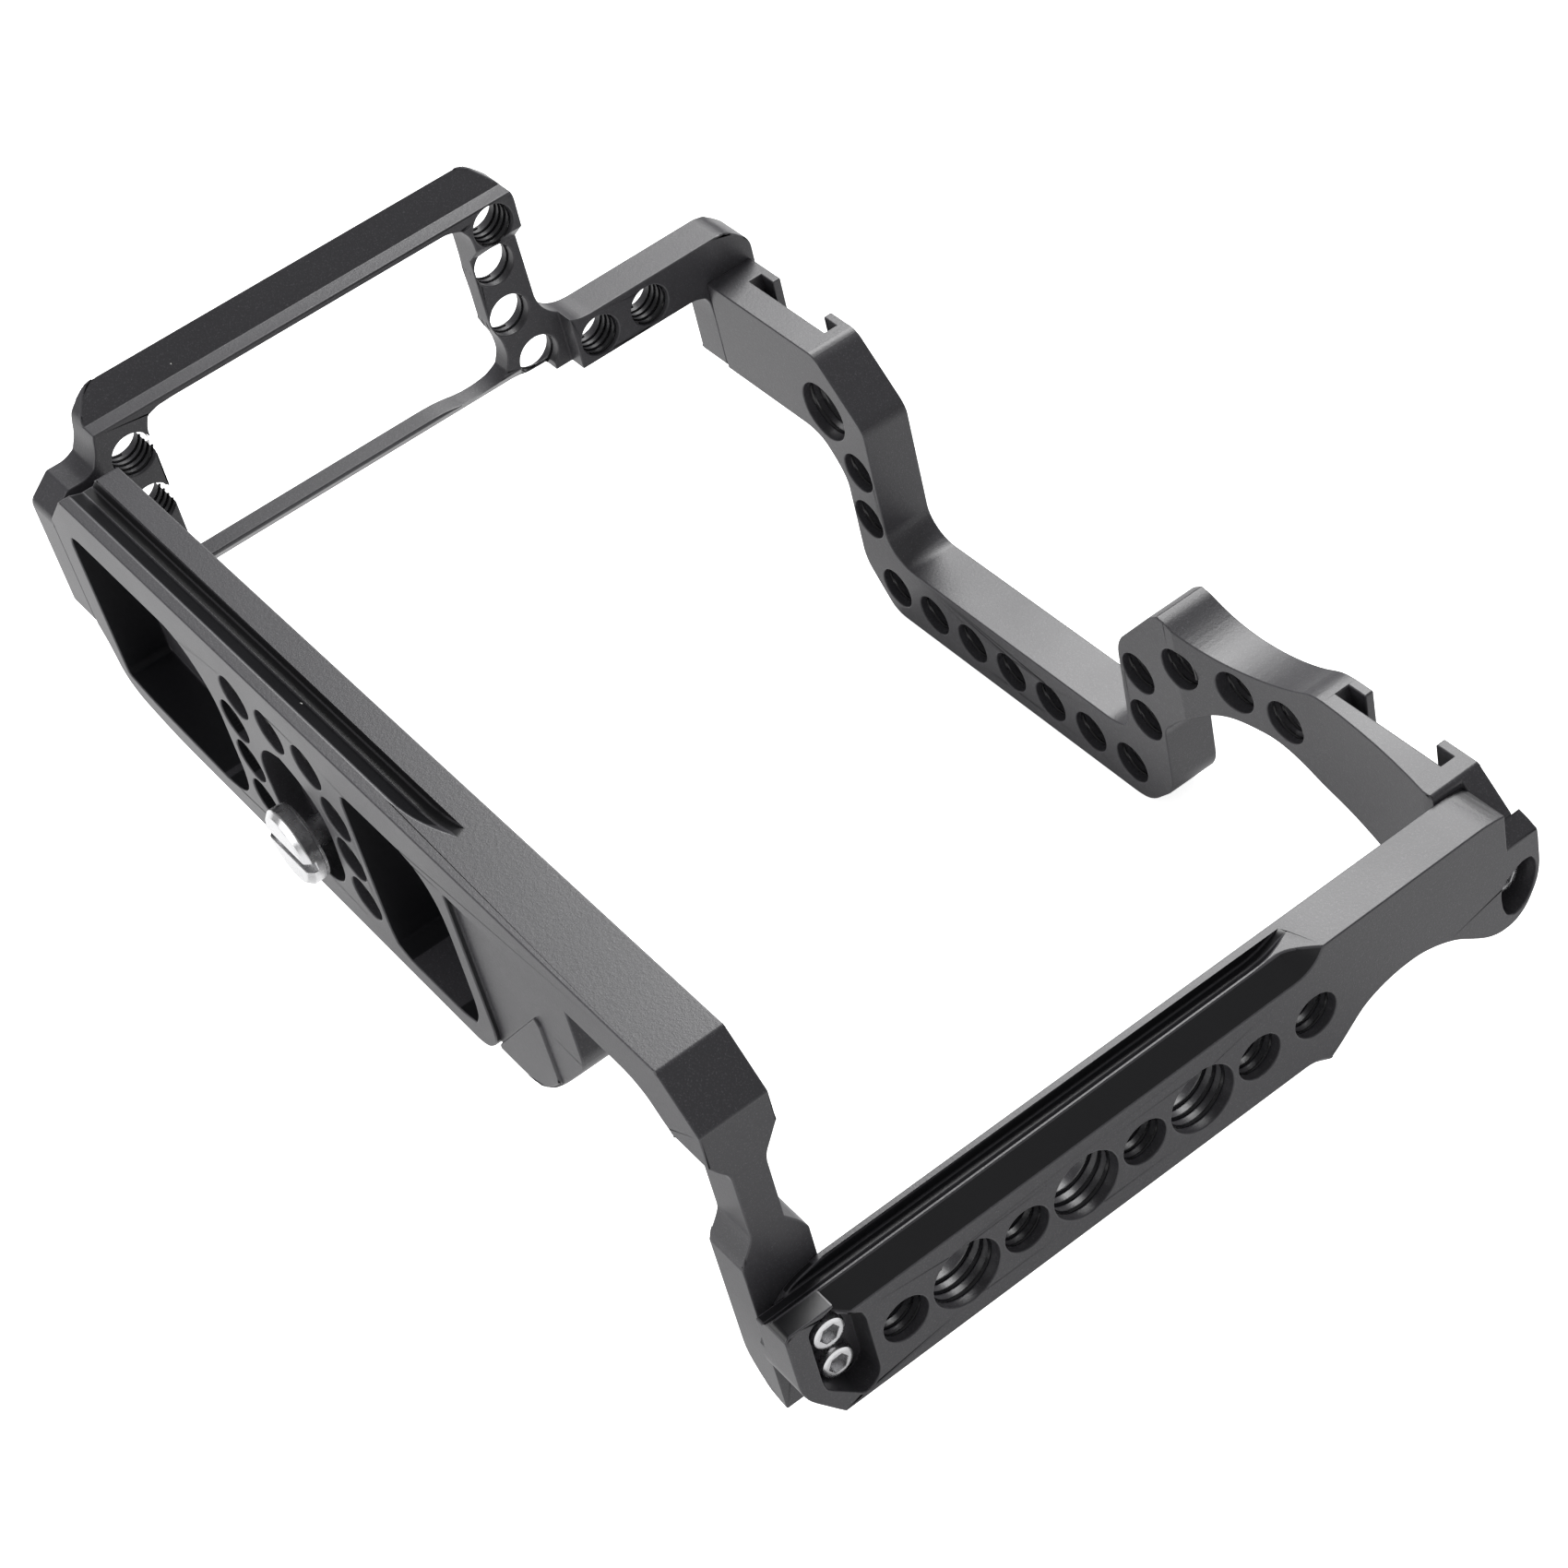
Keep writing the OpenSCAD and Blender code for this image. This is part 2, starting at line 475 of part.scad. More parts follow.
module top_bar() color([0.06, 0.06, 0.065]) translate(row_shift) {
    relief_chord = bar_ends_w * relief_share;
    relief_r = (relief_chord * relief_chord / 4 + relief_depth * relief_depth) / (2 * relief_depth);
    difference() {
        slab_y(y_bar, y_top, rounded(bar_pts, [x_in, x_grip]));
        translate([bar_x(relief_mid_share), y_bar + relief_depth - relief_r, -bar_drop - over])
            cylinder(h = bar_span + over + over, r = relief_r, $fn = relief_fn);
        shoe(bar_x(shoe_left_share));
        shoe(bar_x(shoe_right_share));
        for (s = bar_hole_shares)
            bore_y(bar_at(s).x, bar_at(s).y, y_bar - over, y_top + over, hole_d);
        bore_y(large_hole_x, large_hole_z, y_bar - over, y_top + over, large_hole_d);
        translate([x_in, y_bar - over, -bar_drop]) cube([rail_t, lap_y - y_bar + over, bar_span]);
        translate([x_in, y_bar - over, -bar_drop]) cube([rail_t, bar_t + over + over, lap_z + bar_drop]);
        bore_x(top_screw_y, top_screw_z, cap_head_x - cap_h - top_shank_l, x_in + over, cap_shank_d);
        for (s = grip_top_screw_shares)
            bore_x(grip_top_screw_y, s * bar_span - bar_drop, x_grip - over,
                x_out + cap_h + cap_shank_l, cap_shank_d);
    }
}

// side rail
module rail_groove() {
    floor_z = z_edge - rail_groove_depth;
    wall_x = x_in + rail_t * groove_wall_share;
    lip_x = wall_x + rail_t * groove_w_share;
    end_y = y_rail_low + rail_l * rail_groove_end_share;
    w = lip_x - wall_x;
    slab_y(y_rail_low - over, end_y, [[wall_x, floor_z], [lip_x - rail_groove_depth, floor_z],
        [lip_x + over, z_edge + over], [wall_x, z_edge + over]]);
    translate([wall_x, end_y, floor_z + rail_cutter_r]) rotate([0, 90, 0])
        cutter(rail_cutter_r, w, rail_groove_depth);
}

module rail_slope(shares) {
    depth = z_edge - z_flat;
    intersection() {
        slab_y(y_rail_low, y_rail_top, [[over, z_flat - over], [over, z_edge + over],
            [-depth - over, z_edge + over]]);
        slab_x(-rail_t, over + over, [for (s = shares) rail_at(s)]);
    }
    translate([-depth, y_rail_low + rail_l * slope_end_share, z_flat + slope_cutter_r])
        rotate([0, 90, 0]) cylinder(h = depth + over, r1 = slope_cutter_r - depth,
            r2 = slope_cutter_r + over, $fn = fine_fn);
}

module side_rail() color([0.06, 0.06, 0.065]) translate(row_shift) {
    difference() {
        slab_x(x_in, 0, rounded(rail_pts));
        slab_x(x_in - over, x_in + rail_t * groove_wall_share,
            rounded([for (s = lip_end_shares) rail_at(s)]));
        for (k = [0, 1]) mirror([0, 0, k]) {
            rail_slope(k == 0 ? rail_slope_shares : rail_back_slope_shares);
            rail_groove();
        }
        for (k = [0, 2, 4, 6, 7]) bore_x(k * hole_pitch, 0, x_in - over, over, hole_d);
        for (k = [1, 3, 5]) bore_x(k * hole_pitch, 0, x_in - over, over, large_hole_d);
        slab_x(-cap_pocket_depth, over, rounded([for (s = rail_pocket_shares) rail_at(s)]));
        slab_x(-cap_pocket_depth, over, rounded([for (s = rail_top_pocket_shares) rail_at(s)]));
        for (k = [-half_share, half_share])
            bore_x(rail_screw_y, rail_screw_z + k * cap_pitch, x_in - over, 0, cap_shank_d);
        bore_x(top_screw_y, top_screw_z, x_in - over, 0, cap_shank_d);
        translate([x_in - over, lap_y, lap_z])
            cube([lap_x - x_in + over, y_rail_top - lap_y + over, rail_w]);
        slab_y(lap_y, y_rail_top + over, [[lap_x - over, bevel_z - lap_x + over],
            [over, bevel_z - over], [over, rail_w], [lap_x - over, rail_w]]);
    }
}

// cap screws, head outwards along +x, their seat at x = 0
module cap_screw(l) {
    difference() {
        union() {
            rotate([0, 90, 0]) cylinder(h = cap_h * (1 - edge_share), d = cap_d, $fn = round_fn);
            translate([cap_h * (1 - edge_share), 0, 0]) rotate([0, 90, 0])
                cylinder(h = cap_h * edge_share, d1 = cap_d, d2 = cap_d - cap_h * edge_share,
                    $fn = round_fn);
            translate([-l, 0, 0]) rotate([0, 90, 0])
                cylinder(h = l + cap_h * half_share, d = cap_shank_d, $fn = round_fn);
        }
        translate([cap_h * half_share, 0, 0]) rotate([0, 90, 0])
            cylinder(h = cap_h, d = cap_socket_w / cos(30), $fn = 6);
    }
}

module rail_lower_screws() color([0.8, 0.8, 0.8]) translate(row_shift)
    for (k = [-half_share, half_share])
        translate([cap_head_x - cap_h, rail_screw_y, rail_screw_z + k * cap_pitch])
            cap_screw(cap_shank_l);

module rail_upper_screw() color([0.8, 0.8, 0.8]) translate(row_shift)
    translate([cap_head_x - cap_h, top_screw_y, top_screw_z]) cap_screw(top_shank_l);

module grip_lower_screws() color([0.8, 0.8, 0.8]) translate(row_shift)
    for (s = grip_screw_shares)
        translate([x_out + cap_h, grip_screw_y, plate_low + s * plate_d]) mirror([1, 0, 0])
            cap_screw(cap_shank_l);

module grip_upper_screws() color([0.8, 0.8, 0.8]) translate(row_shift)
    for (s = grip_top_screw_shares)
        translate([x_out + cap_h, grip_top_screw_y, s * bar_span - bar_drop]) mirror([1, 0, 0])
            cap_screw(cap_shank_l);

// washer that holds the camera screw in its slot
module retaining_washer() color([0.6, 0.6, 0.6]) translate(row_shift) difference() {
    bore_y(cam_x, cam_z, keeper_y, keeper_y + keeper_t, keeper_d);
    bore_y(cam_x, cam_z, keeper_y - over, keeper_y + keeper_t + over, cam_neck_d + loose + loose);
}

// thin washer under the camera screw's head
module camera_screw_washer() color([0.7, 0.7, 0.7]) translate(row_shift) difference() {
    bore_y(cam_x, cam_z, cam_head_y, cam_head_y + cam_washer_t, cam_head_d * washer_share);
    bore_y(cam_x, cam_z, cam_head_y - over, cam_head_y + cam_washer_t + over,
        cam_neck_d + run + run);
}

// camera screw: slotted head, plain neck and quarter inch thread
module camera_screw() color([0.75, 0.75, 0.75]) translate(row_shift) difference() {
    bevel = cam_head_t * edge_share;
    translate([cam_x, cam_head_y - cam_head_t, cam_z]) rotate([-90, 0, 0]) rotate_extrude($fn = fine_fn)
        polygon([[0, 0], [cam_head_d * half_share - bevel, 0], [cam_head_d * half_share, bevel],
            [cam_head_d * half_share, cam_head_t], [cam_neck_d * half_share, cam_head_t],
            [cam_neck_d * half_share, neck_top - cam_head_y + cam_head_t],
            [cam_thread_d * half_share, neck_top - cam_head_y + cam_head_t],
            [cam_thread_d * half_share, neck_top - cam_head_y + cam_head_t + cam_thread_l],
            [0, neck_top - cam_head_y + cam_head_t + cam_thread_l]]);
    translate([cam_x - cam_head_d, cam_head_y - cam_head_t - over, cam_z - cap_shank_d * edge_share])
        cube([cam_head_d + cam_head_d, cam_head_t * half_share + over, cap_shank_d * edge_share * 2]);
}

bottom_plate();
grip_frame();
top_bar();
side_rail();
rail_lower_screws();
rail_upper_screw();
grip_lower_screws();
grip_upper_screws();
retaining_washer();
camera_screw_washer();
camera_screw();
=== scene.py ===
import math

import bmesh
import bpy
from bpy.props import FloatProperty, FloatVectorProperty, IntProperty, PointerProperty
from mathutils import Matrix, Vector
from mathutils.bvhtree import BVHTree


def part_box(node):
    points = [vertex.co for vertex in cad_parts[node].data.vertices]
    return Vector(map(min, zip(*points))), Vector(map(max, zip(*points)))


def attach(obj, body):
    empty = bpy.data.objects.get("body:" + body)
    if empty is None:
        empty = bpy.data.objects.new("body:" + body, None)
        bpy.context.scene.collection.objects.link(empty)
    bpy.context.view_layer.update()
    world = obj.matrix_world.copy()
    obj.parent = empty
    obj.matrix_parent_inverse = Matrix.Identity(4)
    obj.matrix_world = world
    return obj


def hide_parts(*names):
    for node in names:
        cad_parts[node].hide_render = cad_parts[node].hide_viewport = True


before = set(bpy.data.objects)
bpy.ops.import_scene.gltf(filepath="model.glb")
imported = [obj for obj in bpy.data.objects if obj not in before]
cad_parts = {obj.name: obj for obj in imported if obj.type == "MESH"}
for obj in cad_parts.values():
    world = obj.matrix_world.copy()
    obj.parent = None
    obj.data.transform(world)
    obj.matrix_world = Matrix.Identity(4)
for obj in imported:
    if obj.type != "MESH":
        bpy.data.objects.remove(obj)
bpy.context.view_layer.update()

bl_info = {
    "name": "Camera Cage Dresser",
    "version": (1, 0, 0),
    "blender": (4, 5, 0),
    "location": "3D View > Sidebar > Cage",
    "description": "Dresses the packed camera cage: anodised plates, tapped holes, screws, light and camera",
    "category": "Object",
}

MM = 0.001
MILLED_NODES = ("bottom_plate", "grip_frame", "top_bar", "side_rail")

# Material slots of a milled piece, and the finish in each; the milled finish is darker partly as painted
# shade
FACE_SLOT, EDGE_SLOT, MILLED_AND_SHADED_SLOT = 0, 1, 2
# The rubbed edge finish is lighter partly as a painted highlight along the edges
PLATE_FINISHES = ("blasted_anodising", "rubbed_edge", "milled_anodising")

# Tolerances of the mesh work, in metres
MERGE_DISTANCE = 0.002 * MM
SLIVER_LENGTH = 0.001 * MM
ON_SURFACE = 0.004 * MM
BESIDE_WALL = 0.03 * MM
TINY_LENGTH = 1e-16

# Angles in degrees: edges sharper than BEVEL_ANGLE are broken, and normals mix up to the other two
BEVEL_ANGLE = 28.0
SMOOTH_ANGLE = 32.0
EDGE_ANGLE = 55.0

# Least cosine between a face and the CAD surface, for a flat sliver and for a thread beside its wall
SLIVER_FACING = 0.999
WALL_FACING = 0.85
# Faces that a loose bit of thread needs to stay, and a thread's reach to its wall in crests
SMALLEST_THREAD_ISLAND = 60
THREAD_REACH = 1.6

# Tapped holes in mm, row frame: piece, axis, start on that axis, length, the two other coordinates
QUARTER_HOLES = (
    ("side_rail", "X", 76.05, 7.2, (
        (-40.9, 31.3), (-22.9, 31.3), (-4.9, 31.3), (13.1, 31.3), (22.1, 31.3))),
    ("bottom_plate", "Y", -55.4, 9.4, (
        (-18.15, 68.4), (-27.25, 68.4), (-9.05, 68.4),
        (-30.85, 61.8), (-30.85, 54.6), (-30.85, 47.4),
        (-5.45, 61.8), (-5.45, 54.6), (-5.45, 47.4))),
    ("top_bar", "Y", 49.1, 8.1, (
        (-44.85, 26.3), (-44.85, 17.3), (-41.15, 5.7), (-32.15, 5.7), (-23.15, 5.7), (-14.15, 5.7),
        (-5.15, 5.7), (3.85, 5.7), (12.85, 5.7), (17.95, 17.5), (17.95, 26.3), (27.25, 33.0))),
    ("top_bar", "Y", 51.1, 6.1, (
        (36.85, 34.0), (45.85, 34.0))),
    ("grip_frame", "X", -83.25, 6.5, (
        (-41.4, 71.6), (-41.4, 62.6), (19.0, 74.0), (30.2, 47.4), (39.2, 47.4))),
    ("grip_frame", "X", -83.25, 3.4, (
        (18.7, 65.7), (18.7, 56.7), (21.3, 47.6))),
)
LARGE_HOLES = (
    ("side_rail", "X", 76.05, 7.2, ((-31.9, 31.3), (-13.9, 31.3), (4.1, 31.3))),
    ("top_bar", "Y", 49.1, 8.1, ((-50.854, 34.7),)),
)
AXES = {"X": (1.0, 0.0, 0.0), "Y": (0.0, 1.0, 0.0)}

# Cap screws in mm, row frame: node, seat of the head, direction of the head, length of the shank
CAP_SCREWS = (
    ("rail_lower_screws", 79.25, 1, 8.0),
    ("rail_upper_screw", 79.25, 1, 6.2),
    ("grip_lower_screws", -81.25, -1, 8.0),
    ("grip_upper_screws", -81.25, -1, 8.0),
)
SHANK_RADIUS = 1.25 * MM
HEAD_RADIUS, HEAD_HEIGHT = 2.4 * MM, 2.0 * MM
HEAD_MOUTH = 1.6 * MM
SOCKET_WIDTH, SOCKET_DEPTH = 2.4 * MM, 1.5 * MM
SOCKET_MARGIN, SOCKET_CHAMFER, SOCKET_CONE = 0.14 * MM, 0.09 * MM, 0.12 * MM
CONE_SHARE = 0.3
TURN_STEPS = 60

# The camera screw and its washers: node, body, slot, width of the broken edges
CAMERA_SCREW_PIECES = (
    ("camera_screw", "camera_screw", "bright_steel", 0.15 * MM),
    ("camera_screw_washer", "screw_carrier", "steel", 0.05 * MM),
    ("retaining_washer", "screw_slider", "steel", 0.05 * MM),
)
SCREW_THREAD_RADIUS, SCREW_THREAD_CREST = 3.02 * MM, 0.15 * MM
SCREW_THREAD_PITCH, SCREW_THREAD_LENGTH = 1.27 * MM, 4.6 * MM
SCREW_THREAD_STEPS = 40

# Directions of the photo's camera, and the frame width that its lens is given for, in mm
CAMERA_RIGHT = (0.58579538, 0.78787756, -0.18998085)
CAMERA_UP = (-0.48576643, 0.52896602, 0.69586343)
CAMERA_BACK = (0.6487486, -0.31534726, 0.69259032)
SENSOR_WIDTH = 36.0
NEAR_CLIP = 0.01
FLOOR_GLOW = 0.8
FLOOR_CORNERS = 64

# Soft lamps: name, place, diameter, the setting with its power
LAMPS = (
    ("top_lamp", (-0.55, 0.5, 0.81), 0.6, "top_power"),
    ("side_lamp", (-0.2, -0.8, 0.35), 0.7, "side_power"),
)


class CageFinishSettings(bpy.types.PropertyGroup):
    """Colours and grain of the anodised plates and of the steel screws"""

    anodised_colour: FloatVectorProperty(
        name="Anodising", description="Colour of the black anodised faces",
        subtype="COLOR", size=3, min=0, max=1, default=(0.036, 0.035, 0.0395))
    # Darker than the anodising: partly the bare milled surface, partly painted shade in pockets, grooves and
    # holes and painted dark reflection on the slopes
    milled_and_shaded_colour: FloatVectorProperty(
        name="Milled faces", description="Colour of the slopes and grooves, which aren't blasted",
        subtype="COLOR", size=3, min=0, max=1, default=(0.008, 0.008, 0.0095))
    # Lighter than the anodising: partly rubbed wear, partly a painted highlight along the edges
    edge_wear_and_highlight_colour: FloatVectorProperty(
        name="Edges", description="Colour of the rubbed edges",
        subtype="COLOR", size=3, min=0, max=1, default=(0.05, 0.049, 0.054))
    steel_colour: FloatVectorProperty(
        name="Steel", description="Colour of the screws and washers",
        subtype="COLOR", size=3, min=0, max=1, default=(0.74, 0.74, 0.75))
    grain_size: FloatProperty(
        name="Grain size", description="Size of the blasted grain",
        subtype="DISTANCE", unit="LENGTH", default=0.2 * MM, min=0.01 * MM)
    grain_depth: FloatProperty(
        name="Grain depth", description="Height of the blasted grain",
        subtype="DISTANCE", unit="LENGTH", default=0.022 * MM, min=0)
    bevel_width: FloatProperty(
        name="Edge break", description="Width of the broken edges of the plates",
        subtype="DISTANCE", unit="LENGTH", default=0.22 * MM, min=0)


class CageThreadSettings(bpy.types.PropertyGroup):
    """Threads of the tapped holes"""

    quarter_radius: FloatProperty(
        name="Quarter inch bore", description="Radius of the quarter inch bores",
        subtype="DISTANCE", unit="LENGTH", default=3.25 * MM)
    quarter_pitch: FloatProperty(
        name="Quarter inch pitch", description="Pitch of the quarter inch threads",
        subtype="DISTANCE", unit="LENGTH", default=1.27 * MM)
    quarter_crest: FloatProperty(
        name="Quarter inch crest", description="Height of the quarter inch crests",
        subtype="DISTANCE", unit="LENGTH", default=0.22 * MM)
    large_radius: FloatProperty(
        name="Three-eighths bore", description="Radius of the three-eighths inch bores",
        subtype="DISTANCE", unit="LENGTH", default=4.85 * MM)
    large_pitch: FloatProperty(
        name="Three-eighths pitch", description="Pitch of the three-eighths inch threads",
        subtype="DISTANCE", unit="LENGTH", default=1.5875 * MM)
    large_crest: FloatProperty(
        name="Three-eighths crest", description="Height of the three-eighths inch crests",
        subtype="DISTANCE", unit="LENGTH", default=0.3 * MM)
    turn_steps: IntProperty(
        name="Steps", description="Points along one turn of a thread", default=40, min=12)


class CageStageSettings(bpy.types.PropertyGroup):
    """Camera, floor and lamps"""

    camera_place: FloatVectorProperty(
        name="Camera", description="Place of the camera",
        subtype="TRANSLATION", unit="LENGTH", size=3, default=(0.312192, -0.149350, 0.361273))
    camera_lens: FloatProperty(
        name="Lens", description="Focal length on a 36 mm frame, in mm", default=82.794)
    floor_radius: FloatProperty(
        name="Floor", description="Radius of the floor",
        subtype="DISTANCE", unit="LENGTH", default=3.0)
    floor_colour: FloatVectorProperty(
        name="Floor colour", description="Colour of the floor",
        subtype="COLOR", size=3, min=0, max=1, default=(0.92, 0.92, 0.92))
    world_strength: FloatProperty(
        name="Room light", description="Strength of the light from all round", default=0.6)
    mirror_strength: FloatProperty(
        name="Room in reflections", description="Strength of the room in reflections", default=0.25)
    top_power: FloatProperty(
        name="Top lamp", description="Power of the soft lamp above",
        subtype="POWER", unit="POWER", default=11.0)
    side_power: FloatProperty(
        name="Side lamp", description="Power of the soft lamp at the side",
        subtype="POWER", unit="POWER", default=2.8)


# ---------------------------------------------------------------- node helpers

def new_group(name, kind, inputs, outputs):
    """A node group with named sockets: inputs as (name, type, default or None), outputs as (name, type)."""
    tree = bpy.data.node_groups.new(name, kind)
    for label, socket_type, value in inputs:
        socket = tree.interface.new_socket(name=label, in_out="INPUT", socket_type=socket_type)
        if value is not None:
            socket.default_value = value
    for label, socket_type in outputs:
        tree.interface.new_socket(name=label, in_out="OUTPUT", socket_type=socket_type)
    add = tree.nodes.new
    return tree, add, tree.links.new, add("NodeGroupInput"), add("NodeGroupOutput")


def operation(add, name, second=None, kind="ShaderNodeMath"):
    """A math node that does the named operation, with a plain second value if one is given."""
    node = add(kind)
    node.operation = name
    if second is not None:
        node.inputs[1].default_value = second
    return node


def mapped(add, low, high, low_name="To Min", high_name="To Max"):
    """A node that maps a value to the range, or from the range when its names say so."""
    node = add("ShaderNodeMapRange")
    node.inputs[low_name].default_value = low
    node.inputs[high_name].default_value = high
    return node


# ---------------------------------------------------------------- shader groups

def blasted_grain_group():
    """Fine grain of bead-blasted metal: a bump height, and light specks that paint the grain's glints into
    the colour.
    """
    if "Blasted Grain" in bpy.data.node_groups:
        return bpy.data.node_groups["Blasted Grain"]
    tree, add, link, inputs, outputs = new_group(
        "Blasted Grain", "ShaderNodeTree",
        (("Place", "NodeSocketVector", None), ("Grains per Metre", "NodeSocketFloat", 6000.0),
         ("Speckle", "NodeSocketFloat", 0.5)),
        (("Height", "NodeSocketFloat"), ("Speck", "NodeSocketFloat")))
    noise = add("ShaderNodeTexNoise")
    noise.inputs["Detail"].default_value = 2.0
    noise.inputs["Roughness"].default_value = 0.6
    link(inputs.outputs["Place"], noise.inputs["Vector"])
    link(inputs.outputs["Grains per Metre"], noise.inputs["Scale"])
    broad = add("ShaderNodeTexNoise")
    broad.inputs["Detail"].default_value = 1.0
    broad_share = operation(add, "MULTIPLY", 0.45)
    link(inputs.outputs["Grains per Metre"], broad_share.inputs[0])
    link(inputs.outputs["Place"], broad.inputs["Vector"])
    link(broad_share.outputs[0], broad.inputs["Scale"])
    both = operation(add, "ADD")
    link(noise.outputs["Fac"], both.inputs[0])
    link(broad.outputs["Fac"], both.inputs[1])
    link(both.outputs[0], outputs.inputs["Height"])
    # The peaks of the grain give the painted glint specks
    peak = mapped(add, 0.56, 0.74, "From Min", "From Max")
    link(noise.outputs["Fac"], peak.inputs["Value"])
    scaled = operation(add, "MULTIPLY")
    link(peak.outputs["Result"], scaled.inputs[0])
    link(inputs.outputs["Speckle"], scaled.inputs[1])
    link(scaled.outputs[0], outputs.inputs["Speck"])
    return tree


def dust_group():
    """A few pale specks of dust, far apart."""
    if "Dust Specks" in bpy.data.node_groups:
        return bpy.data.node_groups["Dust Specks"]
    tree, add, link, inputs, outputs = new_group(
        "Dust Specks", "ShaderNodeTree",
        (("Place", "NodeSocketVector", None), ("Cells per Metre", "NodeSocketFloat", 160.0),
         ("Share of Cells", "NodeSocketFloat", 0.16)),
        (("Mask", "NodeSocketFloat"),))
    cells = add("ShaderNodeTexVoronoi")
    link(inputs.outputs["Place"], cells.inputs["Vector"])
    link(inputs.outputs["Cells per Metre"], cells.inputs["Scale"])
    near = operation(add, "LESS_THAN", 0.03)
    link(cells.outputs["Distance"], near.inputs[0])
    split = add("ShaderNodeSeparateColor")
    link(cells.outputs["Color"], split.inputs[0])
    few = operation(add, "LESS_THAN")
    link(split.outputs[0], few.inputs[0])
    link(inputs.outputs["Share of Cells"], few.inputs[1])
    mask = operation(add, "MULTIPLY")
    link(near.outputs[0], mask.inputs[0])
    link(few.outputs[0], mask.inputs[1])
    link(mask.outputs[0], outputs.inputs["Mask"])
    return tree


def cutter_marks_group():
    """Fine parallel marks that a cutter leaves, as a bump height."""
    if "Cutter Marks" in bpy.data.node_groups:
        return bpy.data.node_groups["Cutter Marks"]
    tree, add, link, inputs, outputs = new_group(
        "Cutter Marks", "ShaderNodeTree",
        (("Place", "NodeSocketVector", None), ("Marks per Metre", "NodeSocketFloat", 3500.0),
         ("Stretch", "NodeSocketVector", (1.0, 1.0, 1.0))),
        (("Height", "NodeSocketFloat"),))
    stretch = operation(add, "MULTIPLY", kind="ShaderNodeVectorMath")
    link(inputs.outputs["Place"], stretch.inputs[0])
    link(inputs.outputs["Stretch"], stretch.inputs[1])
    noise = add("ShaderNodeTexNoise")
    noise.inputs["Detail"].default_value = 2.0
    link(stretch.outputs[0], noise.inputs["Vector"])
    link(inputs.outputs["Marks per Metre"], noise.inputs["Scale"])
    link(noise.outputs["Fac"], outputs.inputs["Height"])
    return tree


# ---------------------------------------------------------------- materials

def place_group(material, group, **values):
    """Puts a shader group into a material, with its own values."""
    node = material.node_tree.nodes.new("ShaderNodeGroup")
    node.node_tree = group
    for name, value in values.items():
        node.inputs[name.replace("_", " ")].default_value = value
    return node


def new_material(name):
    """A material and what its nodes need: nodes.new, links.new, the shader, object coordinates."""
    material = bpy.data.materials.new(name)
    material.use_nodes = True
    tree = material.node_tree
    shader = tree.nodes["Principled BSDF"]
    place = tree.nodes.new("ShaderNodeTexCoord")
    return material, tree.nodes.new, tree.links.new, shader, place.outputs["Object"]


def mix_colours(add, link, factor, first, second):
    """Mixes two colours by a factor's socket; a colour may be a socket or a plain colour."""
    mix = add("ShaderNodeMix")
    mix.data_type = "RGBA"
    for socket, value in ((mix.inputs[0], factor), (mix.inputs[6], first), (mix.inputs[7], second)):
        if isinstance(value, bpy.types.NodeSocket):
            link(value, socket)
        else:
            socket.default_value = (*value, 1.0)
    return mix.outputs[2]


def uneven_roughness(add, link, shader, cloud, low, high):
    """Lets a cloud vary the roughness between two values."""
    rough = mapped(add, low, high)
    link(cloud.outputs["Fac"], rough.inputs["Value"])
    link(rough.outputs["Result"], shader.inputs["Roughness"])


def bumped(add, link, shader, height, distance, strength):
    """Turns a height into the shader's normal."""
    bump = add("ShaderNodeBump")
    bump.inputs["Distance"].default_value = distance
    bump.inputs["Strength"].default_value = strength
    link(height, bump.inputs["Height"])
    link(bump.outputs["Normal"], shader.inputs["Normal"])


def anodised_material(name, colour, grain, depth, glint_speckle, roughness, marks=None):
    """Black anodised aluminium, blasted or milled."""
    material, add, link, shader, place = new_material(name)
    grain_node = place_group(material, blasted_grain_group(), Grains_per_Metre=1.0 / grain, Speckle=glint_speckle)
    link(place, grain_node.inputs["Place"])
    dust = place_group(material, dust_group())
    link(place, dust.inputs["Place"])
    cloud = add("ShaderNodeTexNoise")
    cloud.inputs["Scale"].default_value = 45.0
    cloud.inputs["Detail"].default_value = 3.0
    link(place, cloud.inputs["Vector"])
    tone = mapped(add, 0.88, 1.12)
    link(cloud.outputs["Fac"], tone.inputs["Value"])
    shade = operation(add, "SCALE", kind="ShaderNodeVectorMath")
    shade.inputs[0].default_value = colour
    link(tone.outputs["Result"], shade.inputs["Scale"])
    # Light specks painted into the colour as the glints of the blasted grain
    glint_colour = [min(1.0, c * 2.6 + 0.02) for c in colour]
    dust_colour = (0.62, 0.62, 0.6)
    speckled = mix_colours(add, link, grain_node.outputs["Speck"], shade.outputs[0], glint_colour)
    dusty = mix_colours(add, link, dust.outputs["Mask"], speckled, dust_colour)
    link(dusty, shader.inputs["Base Color"])
    uneven_roughness(add, link, shader, cloud, roughness - 0.05, roughness + 0.07)
    height = grain_node.outputs["Height"]
    if marks:
        lines = place_group(material, cutter_marks_group(), Stretch=marks)
        link(place, lines.inputs["Place"])
        both = operation(add, "ADD")
        link(height, both.inputs[0])
        link(lines.outputs["Height"], both.inputs[1])
        height = both.outputs[0]
    bumped(add, link, shader, height, depth, 0.6)


